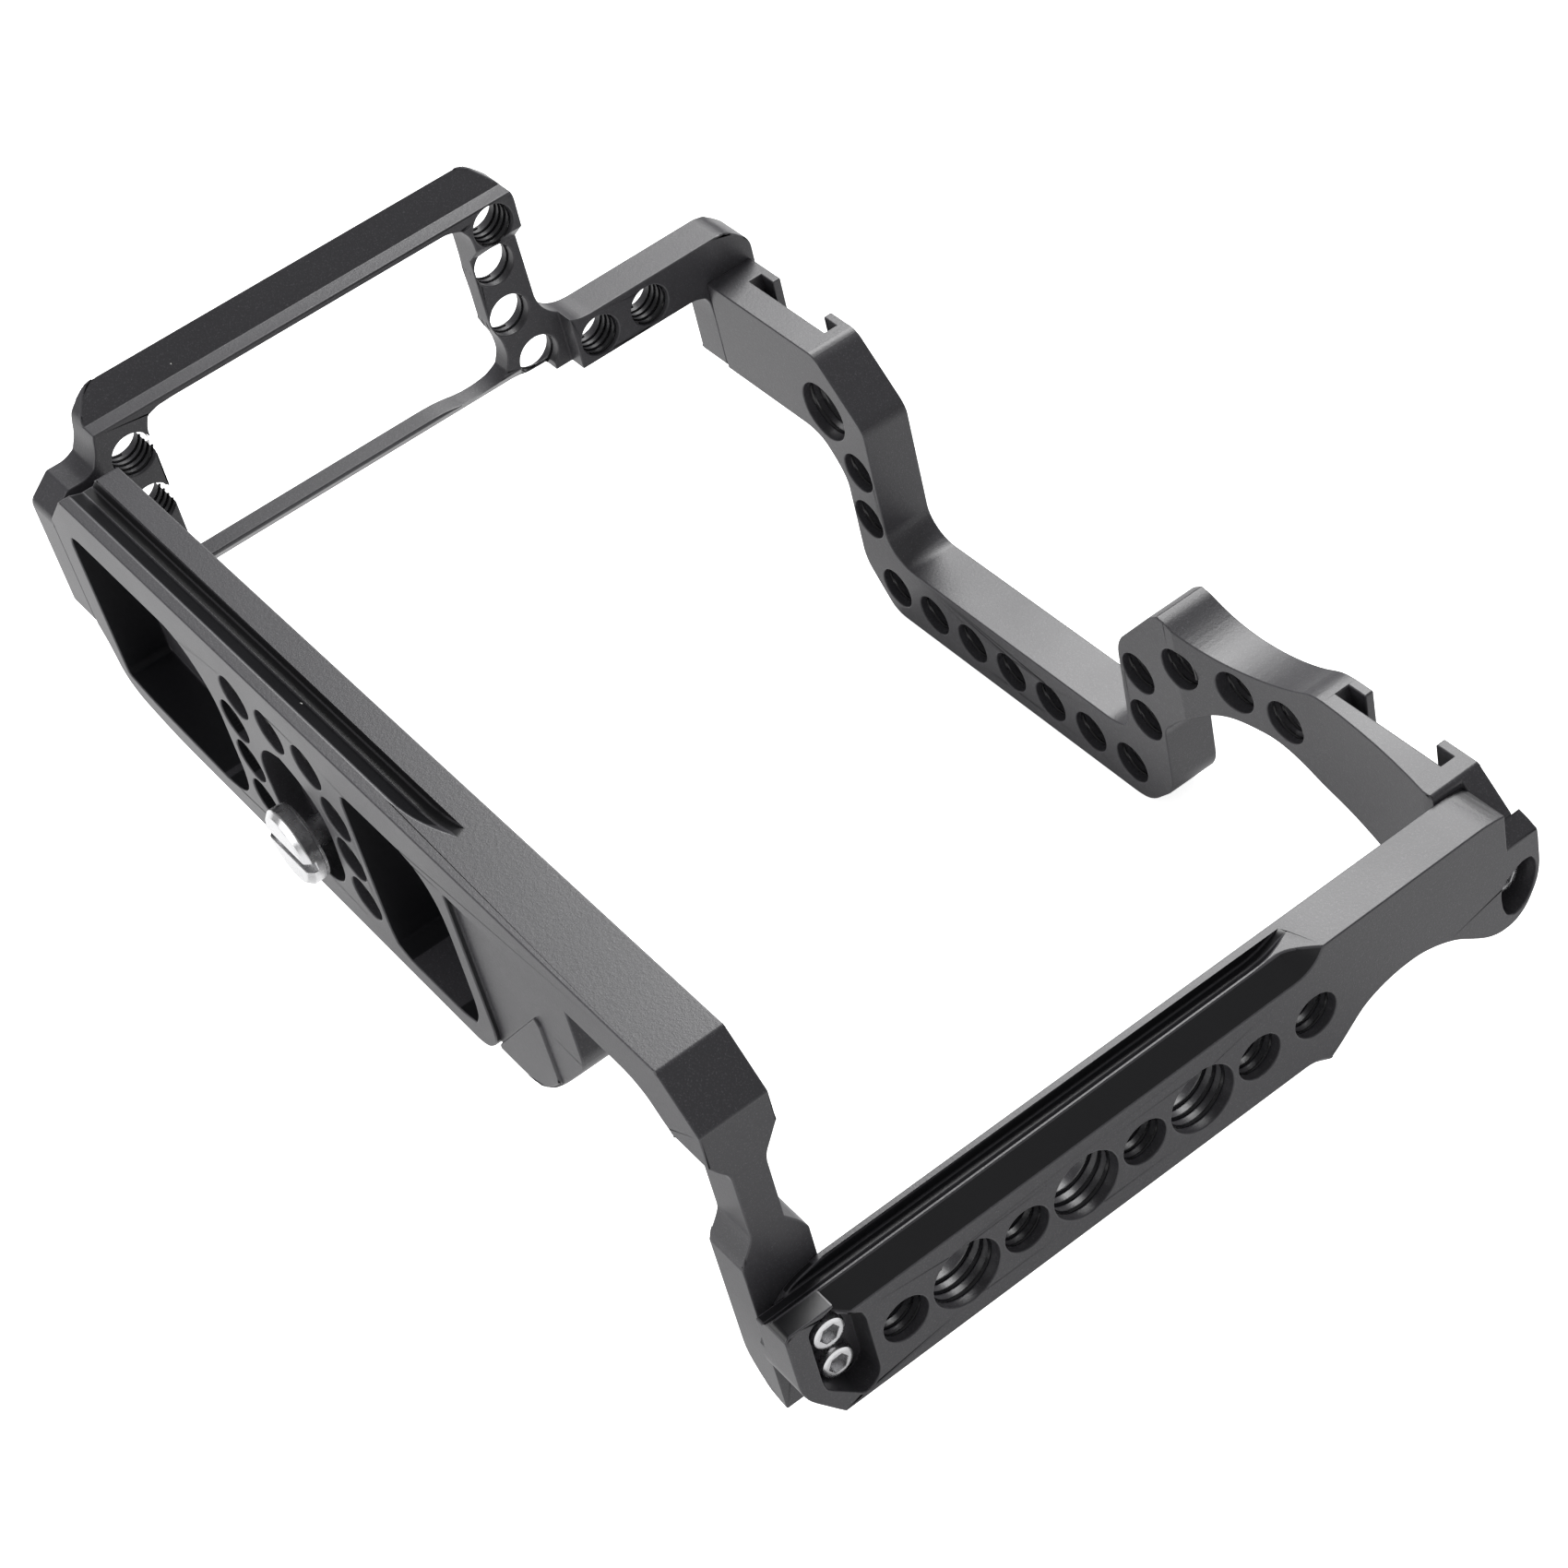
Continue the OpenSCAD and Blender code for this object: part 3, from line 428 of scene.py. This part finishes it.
def steel_material(name, colour, roughness, marks):
    """Turned steel, with the fine marks of the lathe."""
    material, add, link, shader, place = new_material(name)
    shader.inputs["Metallic"].default_value = 1.0
    lines = place_group(material, cutter_marks_group(), Marks_per_Metre=5200.0, Stretch=marks)
    link(place, lines.inputs["Place"])
    cloud = add("ShaderNodeTexNoise")
    cloud.inputs["Scale"].default_value = 900.0
    link(place, cloud.inputs["Vector"])
    darker = [c * 0.93 for c in colour]
    link(mix_colours(add, link, cloud.outputs["Fac"], darker, colour), shader.inputs["Base Color"])
    uneven_roughness(add, link, shader, cloud, roughness - 0.06, roughness + 0.1)
    bumped(add, link, shader, lines.outputs["Height"], 0.002 * MM, 0.3)


def cage_materials():
    """The finishes of the cage by name, made once."""
    if "blasted_anodising" not in bpy.data.materials:
        finish = bpy.context.scene.cage_finish
        grain, depth = finish.grain_size, finish.grain_depth
        anodised_material("blasted_anodising", finish.anodised_colour, grain, depth,
                          glint_speckle=0.6, roughness=0.37)
        # The milled finish's dark colour is partly the unblasted surface and partly painted shade and dark
        # reflection
        anodised_material("milled_anodising", finish.milled_and_shaded_colour, grain * 0.7, depth * 0.15,
                          glint_speckle=0.12, roughness=0.32, marks=(1.0, 0.06, 1.0))
        # Broken edges are lighter, partly as rubbed wear and partly as a painted highlight line
        anodised_material("rubbed_edge", finish.edge_wear_and_highlight_colour, grain, depth * 0.5,
                          glint_speckle=0.3, roughness=0.36)
        # Threads in the holes get the same dark colour, partly as painted shade inside the holes
        anodised_material("tapped_anodising", finish.milled_and_shaded_colour, grain, depth * 0.3,
                          glint_speckle=0.1, roughness=0.22)
        steel_material("turned_steel", finish.steel_colour, roughness=0.24, marks=(1.0, 1.0, 1.0))
    return {m.name: m for m in bpy.data.materials}


# ---------------------------------------------------------------- mesh helpers

def new_piece(name, mesh, body, slot, *nodes):
    """Puts a mesh into the scene as a piece that rides on a body."""
    piece = bpy.data.objects.new(name, mesh)
    bpy.context.scene.collection.objects.link(piece)
    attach(piece, body)
    if nodes:
        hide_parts(*nodes)
    return piece


def merged_copy(node):
    """A copy of a CAD node's mesh, without materials, with its doubled vertices merged."""
    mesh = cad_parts[node].data.copy()
    work = bmesh.new()
    work.from_mesh(mesh)
    bmesh.ops.remove_doubles(work, verts=work.verts, dist=MERGE_DISTANCE)
    bmesh.ops.dissolve_degenerate(work, edges=work.edges, dist=SLIVER_LENGTH)
    work.to_mesh(mesh)
    work.free()
    mesh.materials.clear()
    return mesh


def applied(piece_mesh, name, add_modifiers):
    """The mesh with modifiers applied, as a plain mesh."""
    helper = bpy.data.objects.new(name, piece_mesh)
    bpy.context.scene.collection.objects.link(helper)
    add_modifiers(helper)
    bpy.context.view_layer.update()
    evaluated = helper.evaluated_get(bpy.context.evaluated_depsgraph_get())
    mesh = bpy.data.meshes.new_from_object(evaluated)
    bpy.data.objects.remove(helper)
    mesh.name = name
    return mesh


def broken_edges(mesh, name, width):
    """Breaks the sharp edges of a mesh with a small bevel, whose faces get the edge's material slot."""
    def add_bevel(helper):
        bevel = helper.modifiers.new("Edge Break", "BEVEL")
        bevel.width = width
        bevel.segments = 2
        bevel.limit_method = "ANGLE"
        bevel.angle_limit = math.radians(BEVEL_ANGLE)
        bevel.use_clamp_overlap = False
        bevel.harden_normals = False
        bevel.material = EDGE_SLOT
        bevel.miter_outer = "MITER_SHARP"
    return applied(mesh, name, add_bevel)


def even_normals(mesh):
    """Sets normals that keep the faces even and let only the broken edges turn the light."""
    smooth, wide = math.cos(math.radians(SMOOTH_ANGLE)), math.cos(math.radians(EDGE_ANGLE))
    mesh.polygons.foreach_set("use_smooth", [True] * len(mesh.polygons))
    around = [[] for vert in mesh.vertices]
    facets = [(face.normal.copy(), face.area, face.material_index == EDGE_SLOT) for face in mesh.polygons]
    for face, facet in zip(mesh.polygons, facets):
        for vert in face.vertices:
            around[vert].append(facet)
    normals = [None] * len(mesh.loops)
    for face, (own, area, edge) in zip(mesh.polygons, facets):
        limit = wide if edge else smooth
        for corner, vert in zip(face.loop_indices, face.vertices):
            plain = [(n, a) for n, a, e in around[vert] if not e and n.dot(own) > limit]
            near = plain or [(n, a) for n, a, e in around[vert] if n.dot(own) > wide]
            total = sum((n * a for n, a in near), Vector())
            normals[corner] = total.normalized() if total.length > TINY_LENGTH else own
    mesh.normals_split_custom_set(normals)


def surface_of(node):
    """Search tree over the faces of a CAD node."""
    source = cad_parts[node].data
    corners = [list(face.vertices) for face in source.polygons]
    return BVHTree.FromPolygons([vert.co for vert in source.vertices], corners)


def kept_on_surface(mesh, node, reach):
    """Draws vertices that a bevel threw off the CAD surface back onto it.

    Slivers that lie flat in the surface get the faces' finish."""
    surface = surface_of(node)
    low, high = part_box(node)
    for vert in mesh.vertices:
        vert.co = [min(max(value, low[i]), high[i]) for i, value in enumerate(vert.co)]
        place, normal, index, distance = surface.find_nearest(vert.co)
        outside = (vert.co - place).dot(normal) > 0
        if distance > reach or outside and distance > ON_SURFACE:
            vert.co = place
    mesh.update()
    for face in mesh.polygons:
        if face.material_index == EDGE_SLOT:
            place, normal, index, distance = surface.find_nearest(face.center)
            if distance < ON_SURFACE and face.normal.dot(normal) > SLIVER_FACING:
                face.material_index = FACE_SLOT


def island_of(start, unseen, neighbours):
    """The elements that hang together with the start; takes them out of the unseen ones."""
    stack, island = [start], []
    while stack:
        item = stack.pop()
        island.append(item)
        for other in neighbours(item):
            if other in unseen:
                unseen.discard(other)
                stack.append(other)
    return island


def without_loose_faces(mesh, node, reach):
    """Takes away the faces of a thread that have no wall within reach, and small islands left over."""
    surface = surface_of(node)
    work = bmesh.new()
    work.from_mesh(mesh)
    loose = []
    for face in work.faces:
        centre = face.calc_center_median()
        place, normal, index, distance = surface.find_nearest(centre)
        level = abs((centre - place).dot(normal))
        if distance > reach or distance > BESIDE_WALL and level < WALL_FACING * distance:
            loose.append(face)
    bmesh.ops.delete(work, geom=loose, context="FACES")
    unseen = set(work.faces)
    while unseen:
        island = island_of(
            unseen.pop(), unseen, lambda face: (other for edge in face.edges for other in edge.link_faces))
        if len(island) < SMALLEST_THREAD_ISLAND:
            bmesh.ops.delete(work, geom=island, context="FACES")
    work.to_mesh(mesh)
    work.free()


def shade_smooth(mesh, angle):
    """Smooth shading that keeps edges sharper than the angle, in degrees."""
    mesh.polygons.foreach_set("use_smooth", [True] * len(mesh.polygons))
    mesh.set_sharp_from_angle(angle=math.radians(angle))


def milled_or_shaded_on_rail(normal, centre):
    """Whether a face of the rail, with its centre in mm, is one that the cutter left bare, or one painted
    darker as shade and dark reflection.
    """
    off_middle = abs(centre.z - 31.3)
    sloped = abs(abs(normal.x) - abs(normal.z)) < 0.12 and abs(normal.y) < 0.2 and off_middle > 7.4
    in_groove = 76.9 < centre.x < 80.3 and 8.8 < off_middle < 10.55
    at_foot = centre.y < -47.0 and off_middle > 9.0 and abs(normal.z) > 0.6
    leaning = normal.x > 0.2 and abs(normal.z) > 0.2
    at_run_out = 5.0 < centre.y < 26.0 and off_middle > 4.0 and leaning
    return sloped or in_groove or at_foot or at_run_out


def milled_or_shaded_on_plate(normal, centre):
    """Whether a face of the bottom plate, with its centre in mm, is one that the cutter left bare, or a
    pocket wall painted darker partly as shade.
    """
    lip = abs(abs(normal.y) - abs(normal.z)) < 0.12 and abs(normal.x) < 0.2
    along_groove = 74.1 < centre.z < 76.55 and -54.0 < centre.y < -49.0
    in_groove = along_groove and (lip or abs(normal.y) > 0.9 or normal.z > 0.9)
    over_pocket = -72.0 < centre.x < -32.0 or -3.0 < centre.x < 34.0
    on_wall = -58.9 < centre.y < -49.2 and 42.0 < centre.z < 72.5 and abs(normal.y) < 0.2
    return in_groove or on_wall and over_pocket


MILLED_OR_SHADED_TESTS = {"side_rail": milled_or_shaded_on_rail, "bottom_plate": milled_or_shaded_on_plate}


def milled_and_shaded_faces(mesh, node):
    """Gives the slopes, grooves and pocket walls, which the cutter left bare, the milled finish, whose darker
    colour is partly painted shade and painted dark reflection.
    """
    is_milled_or_shaded = MILLED_OR_SHADED_TESTS.get(node)
    if is_milled_or_shaded is None:
        return
    for face in mesh.polygons:
        if is_milled_or_shaded(face.normal, face.center / MM):
            face.material_index = MILLED_AND_SHADED_SLOT


# ---------------------------------------------------------------- geometry nodes: threads and screws

def thread_tree():
    """Tree that winds a thread's crest round each point, along an axis."""
    if "Tapped Threads" in bpy.data.node_groups:
        return bpy.data.node_groups["Tapped Threads"]
    tree, add, link, inputs, outputs = new_group(
        "Tapped Threads", "GeometryNodeTree",
        (("Holes", "NodeSocketGeometry", None), ("Radius", "NodeSocketFloat", None),
         ("Crest", "NodeSocketFloat", None), ("Pitch", "NodeSocketFloat", None),
         ("Length", "NodeSocketFloat", None), ("Steps", "NodeSocketInt", None),
         ("Axis", "NodeSocketVector", None), ("Finish", "NodeSocketMaterial", None)),
        (("Threads", "NodeSocketGeometry"),))
    turns = operation(add, "DIVIDE")
    inner = operation(add, "SUBTRACT")
    link(inputs.outputs["Length"], inner.inputs[0])
    link(inputs.outputs["Pitch"], inner.inputs[1])
    link(inner.outputs[0], turns.inputs[0])
    link(inputs.outputs["Pitch"], turns.inputs[1])
    spiral = add("GeometryNodeCurveSpiral")
    link(inputs.outputs["Steps"], spiral.inputs["Resolution"])
    link(turns.outputs[0], spiral.inputs["Rotations"])
    link(inputs.outputs["Radius"], spiral.inputs["Start Radius"])
    link(inputs.outputs["Radius"], spiral.inputs["End Radius"])
    link(inner.outputs[0], spiral.inputs["Height"])
    upright = add("GeometryNodeSetCurveNormal")
    upright.mode = "Z_UP"
    link(spiral.outputs["Curve"], upright.inputs["Curve"])
    profile = add("GeometryNodeCurvePrimitiveCircle")
    profile.inputs["Resolution"].default_value = 6
    link(inputs.outputs["Crest"], profile.inputs["Radius"])
    sweep = add("GeometryNodeCurveToMesh")
    link(upright.outputs["Curve"], sweep.inputs["Curve"])
    link(profile.outputs["Curve"], sweep.inputs["Profile Curve"])
    sweep.inputs["Fill Caps"].default_value = True
    lift = add("GeometryNodeTransform")
    half = operation(add, "MULTIPLY", 0.5)
    link(inputs.outputs["Pitch"], half.inputs[0])
    raise_by = add("ShaderNodeCombineXYZ")
    link(half.outputs[0], raise_by.inputs["Z"])
    link(raise_by.outputs[0], lift.inputs["Translation"])
    link(sweep.outputs["Mesh"], lift.inputs["Geometry"])
    real = placed_copies(add, link, inputs.outputs["Holes"], lift.outputs["Geometry"], inputs.outputs["Axis"])
    smooth = add("GeometryNodeSetShadeSmooth")
    link(real, smooth.inputs[0])
    link(finished(add, link, smooth.outputs[0], inputs.outputs["Finish"]), outputs.inputs["Threads"])
    return tree


def screw_tree():
    """Tree that sets a screw on each point, its Z turned to a direction."""
    if "Set Screws" in bpy.data.node_groups:
        return bpy.data.node_groups["Set Screws"]
    tree, add, link, inputs, outputs = new_group(
        "Set Screws", "GeometryNodeTree",
        (("Seats", "NodeSocketGeometry", None), ("Screw", "NodeSocketObject", None),
         ("Direction", "NodeSocketVector", None), ("Finish", "NodeSocketMaterial", None)),
        (("Screws", "NodeSocketGeometry"),))
    source = add("GeometryNodeObjectInfo")
    link(inputs.outputs["Screw"], source.inputs["Object"])
    real = placed_copies(add, link, inputs.outputs["Seats"], source.outputs["Geometry"],
                         inputs.outputs["Direction"])
    link(finished(add, link, real, inputs.outputs["Finish"]), outputs.inputs["Screws"])
    return tree


def placed_copies(add, link, places, geometry, direction):
    """Real copies of a geometry on each place, their Z turned to the direction."""
    points = add("GeometryNodeMeshToPoints")
    link(places, points.inputs["Mesh"])
    turn = add("FunctionNodeAlignRotationToVector")
    turn.axis = "Z"
    link(direction, turn.inputs["Vector"])
    instances = add("GeometryNodeInstanceOnPoints")
    link(points.outputs["Points"], instances.inputs["Points"])
    link(geometry, instances.inputs["Instance"])
    link(turn.outputs[0], instances.inputs["Rotation"])
    real = add("GeometryNodeRealizeInstances")
    link(instances.outputs[0], real.inputs[0])
    return real.outputs[0]


def finished(add, link, geometry, finish):
    """The geometry with a material."""
    setter = add("GeometryNodeSetMaterial")
    link(geometry, setter.inputs["Geometry"])
    link(finish, setter.inputs["Material"])
    return setter.outputs["Geometry"]


def set_inputs(modifier, tree, values):
    """Sets a Geometry Nodes modifier's inputs by their sockets' identifiers."""
    names = {s.name: s.identifier for s in tree.interface.items_tree
             if s.item_type == "SOCKET" and s.in_out == "INPUT"}
    for name, value in values.items():
        modifier[names[name]] = value


def points_mesh(name, places):
    """A mesh of bare points; the places are in mm."""
    mesh = bpy.data.meshes.new(name)
    mesh.from_pydata([Vector(p) * MM for p in places], [], [])
    return mesh


def grown(name, places, tree, values):
    """The plain mesh that a tree grows on the places, in mm."""
    def add_tree(helper):
        modifier = helper.modifiers.new("Tree", "NODES")
        modifier.node_group = tree
        set_inputs(modifier, tree, values)
    return applied(points_mesh(name, places), name, add_tree)


def joined(name, meshes, finish):
    """One mesh of several that share a finish."""
    work = bmesh.new()
    for mesh in meshes:
        work.from_mesh(mesh)
    whole = bpy.data.meshes.new(name)
    work.to_mesh(whole)
    work.free()
    whole.materials.append(finish)
    return whole


def loose_centres(node):
    """Centres (y, z) in mm of the separate solids of a CAD node that lie along X."""
    work = bmesh.new()
    work.from_mesh(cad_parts[node].data)
    bmesh.ops.remove_doubles(work, verts=work.verts, dist=MERGE_DISTANCE)
    left, centres = set(work.verts), []
    while left:
        group = island_of(left.pop(), left, lambda vert: (e.other_vert(vert) for e in vert.link_edges))
        spans = [(min(v.co[i] for v in group), max(v.co[i] for v in group)) for i in (1, 2)]
        centres.append(tuple((low + high) / 2 / MM for low, high in spans))
    work.free()
    return sorted(centres)


def cap_screw_profile(shank):
    """Pairs (radius, height) of a cap screw from its shank's tip to the head's inner edge."""
    r, h = HEAD_RADIUS, HEAD_HEIGHT
    return [(SHANK_RADIUS, -shank), (SHANK_RADIUS, 0.0), (r - 0.1 * MM, 0.0), (r, 0.1 * MM), (r, h * 0.62),
            (r - 0.08 * MM, h * 0.78), (r - 0.25 * MM, h * 0.93), (r - 0.5 * MM, h * 0.985),
            (r - 0.7 * MM, h), (HEAD_MOUTH, h)]


def lathe_with_hexagon(name, profile):
    """A screw turned about Z from its profile, with the hexagon socket in its top."""
    def ring(radius_at, height):
        verts = []
        for k in range(TURN_STEPS):
            angle = 2 * math.pi * k / TURN_STEPS
            radius = radius_at(angle)
            verts.append(work.verts.new((radius * math.cos(angle), radius * math.sin(angle), height)))
        return verts

    def hexagon(width):
        return lambda a: width / 2 / math.cos((a + math.pi / 6) % (math.pi / 3) - math.pi / 6)

    work = bmesh.new()
    top = profile[-1][1]
    rings = [ring(lambda a, r=r: r, z) for r, z in profile]
    rings.append(ring(hexagon(SOCKET_WIDTH + SOCKET_MARGIN), top))
    rings.append(ring(hexagon(SOCKET_WIDTH), top - SOCKET_CHAMFER))
    rings.append(ring(hexagon(SOCKET_WIDTH), top - SOCKET_DEPTH))
    rings.append(ring(lambda a: SOCKET_WIDTH * CONE_SHARE, top - SOCKET_DEPTH - SOCKET_CONE))
    for low, high in zip(rings, rings[1:]):
        for k in range(TURN_STEPS):
            after = (k + 1) % TURN_STEPS
            work.faces.new((low[k], low[after], high[after], high[k]))
    work.faces.new(list(reversed(rings[0])))
    work.faces.new(rings[-1])
    bmesh.ops.recalc_face_normals(work, faces=work.faces)
    mesh = bpy.data.meshes.new(name)
    work.to_mesh(mesh)
    work.free()
    shade_smooth(mesh, 30.0)
    return mesh


# ---------------------------------------------------------------- operators

class CAGE_OT_plates(bpy.types.Operator):
    """Breaks the edges of the four milled pieces and gives them their finish"""

    bl_idname = "cage.plates"
    bl_label = "Milled Pieces"

    def execute(self, context):
        width = context.scene.cage_finish.bevel_width
        finishes = cage_materials()
        for node in MILLED_NODES:
            mesh = merged_copy(node)
            for name in PLATE_FINISHES:
                mesh.materials.append(finishes[name])
            milled_and_shaded_faces(mesh, node)
            mesh = broken_edges(mesh, node + "_finished", width)
            kept_on_surface(mesh, node, width * 0.5)
            even_normals(mesh)
            new_piece(node + "_finished", mesh, "cage", "black_anodised", node)
        return {"FINISHED"}


class CAGE_OT_threads(bpy.types.Operator):
    """Cuts the threads of the tapped holes"""

    bl_idname = "cage.threads"
    bl_label = "Tapped Holes"

    def execute(self, context):
        sizes = context.scene.cage_threads
        finish = cage_materials()["tapped_anodising"]
        kinds = ((QUARTER_HOLES, sizes.quarter_radius, sizes.quarter_crest, sizes.quarter_pitch),
                 (LARGE_HOLES, sizes.large_radius, sizes.large_crest, sizes.large_pitch))
        for node in MILLED_NODES:
            threads = []
            for table, radius, crest, pitch in kinds:
                for owner, axis, start, length, centres in table:
                    if owner != node:
                        continue
                    places = [
                        (start, a, b) if axis == "X" else (a, start, b) for a, b in centres]
                    thread = grown(node + "_thread", places, thread_tree(), {
                        "Radius": radius, "Crest": crest, "Pitch": pitch, "Length": length * MM,
                        "Steps": sizes.turn_steps, "Axis": AXES[axis], "Finish": finish})
                    without_loose_faces(thread, node, crest * THREAD_REACH)
                    threads.append(thread)
            mesh = joined(node + "_threads", threads, finish)
            shade_smooth(mesh, 50.0)
            new_piece(node + "_threads", mesh, "cage", "black_anodised")
        return {"FINISHED"}


class CAGE_OT_cap_screws(bpy.types.Operator):
    """Sets the cap screws with their hexagon sockets"""

    bl_idname = "cage.cap_screws"
    bl_label = "Cap Screws"

    def execute(self, context):
        finish = cage_materials()["turned_steel"]
        for node, seat, side, shank in CAP_SCREWS:
            pattern = lathe_with_hexagon("cap_screw_pattern", cap_screw_profile(shank * MM))
            source = bpy.data.objects.new("cap_screw_pattern", pattern)
            context.scene.collection.objects.link(source)
            places = [(seat, y, z) for y, z in loose_centres(node)]
            mesh = grown(node + "_turned", places, screw_tree(), {
                "Screw": source, "Direction": (float(side), 0.0, 0.0), "Finish": finish})
            new_piece(node + "_turned", mesh, "cage", "steel", node)
            bpy.data.objects.remove(source)
        return {"FINISHED"}


class CAGE_OT_camera_screw(bpy.types.Operator):
    """Finishes the camera screw, its thread and its two washers"""

    bl_idname = "cage.camera_screw"
    bl_label = "Camera Screw"

    def execute(self, context):
        finish = cage_materials()["turned_steel"]
        for node, body, slot, width in CAMERA_SCREW_PIECES:
            mesh = merged_copy(node)
            # One material slot for the faces and one for the broken edges
            mesh.materials.append(finish)
            mesh.materials.append(finish)
            mesh = broken_edges(mesh, node + "_turned", width)
            kept_on_surface(mesh, node, width * 0.5)
            even_normals(mesh)
            new_piece(node + "_turned", mesh, body, slot, node)
        low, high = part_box("camera_screw")
        start_y = (high[1] - SCREW_THREAD_LENGTH) / MM
        start = ((low[0] + high[0]) / 2 / MM, start_y, (low[2] + high[2]) / 2 / MM)
        mesh = grown("camera_screw_thread", [start], thread_tree(), {
            "Radius": SCREW_THREAD_RADIUS, "Crest": SCREW_THREAD_CREST, "Pitch": SCREW_THREAD_PITCH,
            "Length": SCREW_THREAD_LENGTH, "Steps": SCREW_THREAD_STEPS,
            "Axis": AXES["Y"], "Finish": finish})
        new_piece("camera_screw_thread", mesh, "camera_screw", "bright_steel")
        return {"FINISHED"}


class CAGE_OT_stage(bpy.types.Operator):
    """Sets the camera, the white floor, the room light and the soft lamps"""

    bl_idname = "cage.stage"
    bl_label = "Stage"

    def execute(self, context):
        scene = context.scene
        settings = scene.cage_stage
        set_camera(scene, settings)
        set_floor(scene, settings)
        set_room(scene, settings)
        for name, place, size, power in LAMPS:
            lamp_data = bpy.data.lights.new(name, "AREA")
            lamp_data.shape = "DISK"
            lamp_data.size = size
            lamp_data.energy = getattr(settings, power)
            lamp = bpy.data.objects.new(name, lamp_data)
            lamp.location = place
            lamp.rotation_euler = (-Vector(place)).to_track_quat("-Z", "Y").to_euler()
            scene.collection.objects.link(lamp)
        scene.view_settings.view_transform = "Standard"
        return {"FINISHED"}


def set_camera(scene, settings):
    """The camera that took the photo."""
    camera_data = bpy.data.cameras.new("photo_camera")
    camera_data.lens = settings.camera_lens
    camera_data.sensor_width = SENSOR_WIDTH
    camera_data.clip_start = NEAR_CLIP
    camera = bpy.data.objects.new("photo_camera", camera_data)
    turn = Matrix((CAMERA_RIGHT, CAMERA_UP, CAMERA_BACK)).transposed().to_4x4()
    camera.matrix_world = Matrix.Translation(settings.camera_place) @ turn
    scene.collection.objects.link(camera)
    scene.camera = camera


def set_floor(scene, settings):
    """A round white floor that glows for the camera only, so that it stays white and keeps the shadow."""
    floor_mesh = bpy.data.meshes.new("floor")
    work = bmesh.new()
    bmesh.ops.create_circle(work, cap_ends=True, segments=FLOOR_CORNERS, radius=settings.floor_radius)
    work.to_mesh(floor_mesh)
    work.free()
    floor = bpy.data.objects.new("floor", floor_mesh)
    scene.collection.objects.link(floor)
    material, add, link, shader, place = new_material("pale_floor")
    shader.inputs["Base Color"].default_value = (*settings.floor_colour, 1.0)
    shader.inputs["Roughness"].default_value = 1.0
    shader.inputs["Specular IOR Level"].default_value = 0.0
    shader.inputs["Emission Color"].default_value = (1.0, 1.0, 1.0, 1.0)
    path = add("ShaderNodeLightPath")
    glow = operation(add, "MULTIPLY", FLOOR_GLOW)
    link(path.outputs["Is Camera Ray"], glow.inputs[0])
    link(glow.outputs[0], shader.inputs["Emission Strength"])
    floor_mesh.materials.append(material)


def set_room(scene, settings):
    """A white room, white to the camera, with one level for its light and a lower one in reflections."""
    world = bpy.data.worlds.new("white_room")
    scene.world = world
    world.use_nodes = True
    add, link = world.node_tree.nodes.new, world.node_tree.links.new
    background = world.node_tree.nodes["Background"]
    background.inputs["Color"].default_value = (1.0, 1.0, 1.0, 1.0)
    path = add("ShaderNodeLightPath")
    mirrored = mapped(add, settings.world_strength, settings.mirror_strength)
    link(path.outputs["Is Glossy Ray"], mirrored.inputs["Value"])
    level = add("ShaderNodeMapRange")
    level.inputs["To Max"].default_value = 1.0
    link(mirrored.outputs["Result"], level.inputs["To Min"])
    link(path.outputs["Is Camera Ray"], level.inputs["Value"])
    link(level.outputs["Result"], background.inputs["Strength"])


class CAGE_PT_panel(bpy.types.Panel):
    """Lists the steps that dress the cage"""

    bl_label = "Camera Cage"
    bl_idname = "CAGE_PT_panel"
    bl_space_type = "VIEW_3D"
    bl_region_type = "UI"
    bl_category = "Cage"

    def draw(self, context):
        for settings in (context.scene.cage_finish, context.scene.cage_threads, context.scene.cage_stage):
            box = self.layout.box()
            for name in settings.bl_rna.properties.keys():
                if name not in ("rna_type", "name"):
                    box.prop(settings, name)
        for operator in OPERATORS:
            self.layout.operator(operator.bl_idname)


SETTINGS = (
    ("cage_finish", CageFinishSettings),
    ("cage_threads", CageThreadSettings),
    ("cage_stage", CageStageSettings),
)
OPERATORS = (CAGE_OT_stage, CAGE_OT_plates, CAGE_OT_threads, CAGE_OT_cap_screws, CAGE_OT_camera_screw)


def register():
    for name, kind in SETTINGS:
        bpy.utils.register_class(kind)
        setattr(bpy.types.Scene, name, PointerProperty(type=kind))
    for kind in OPERATORS + (CAGE_PT_panel,):
        bpy.utils.register_class(kind)


def unregister():
    for kind in (CAGE_PT_panel,) + OPERATORS[::-1]:
        bpy.utils.unregister_class(kind)
    for name, kind in SETTINGS[::-1]:
        delattr(bpy.types.Scene, name)
        bpy.utils.unregister_class(kind)


def main():
    register()
    bpy.ops.cage.stage()
    bpy.ops.cage.plates()
    bpy.ops.cage.threads()
    bpy.ops.cage.cap_screws()
    bpy.ops.cage.camera_screw()


if __name__ == "__main__":
    main()
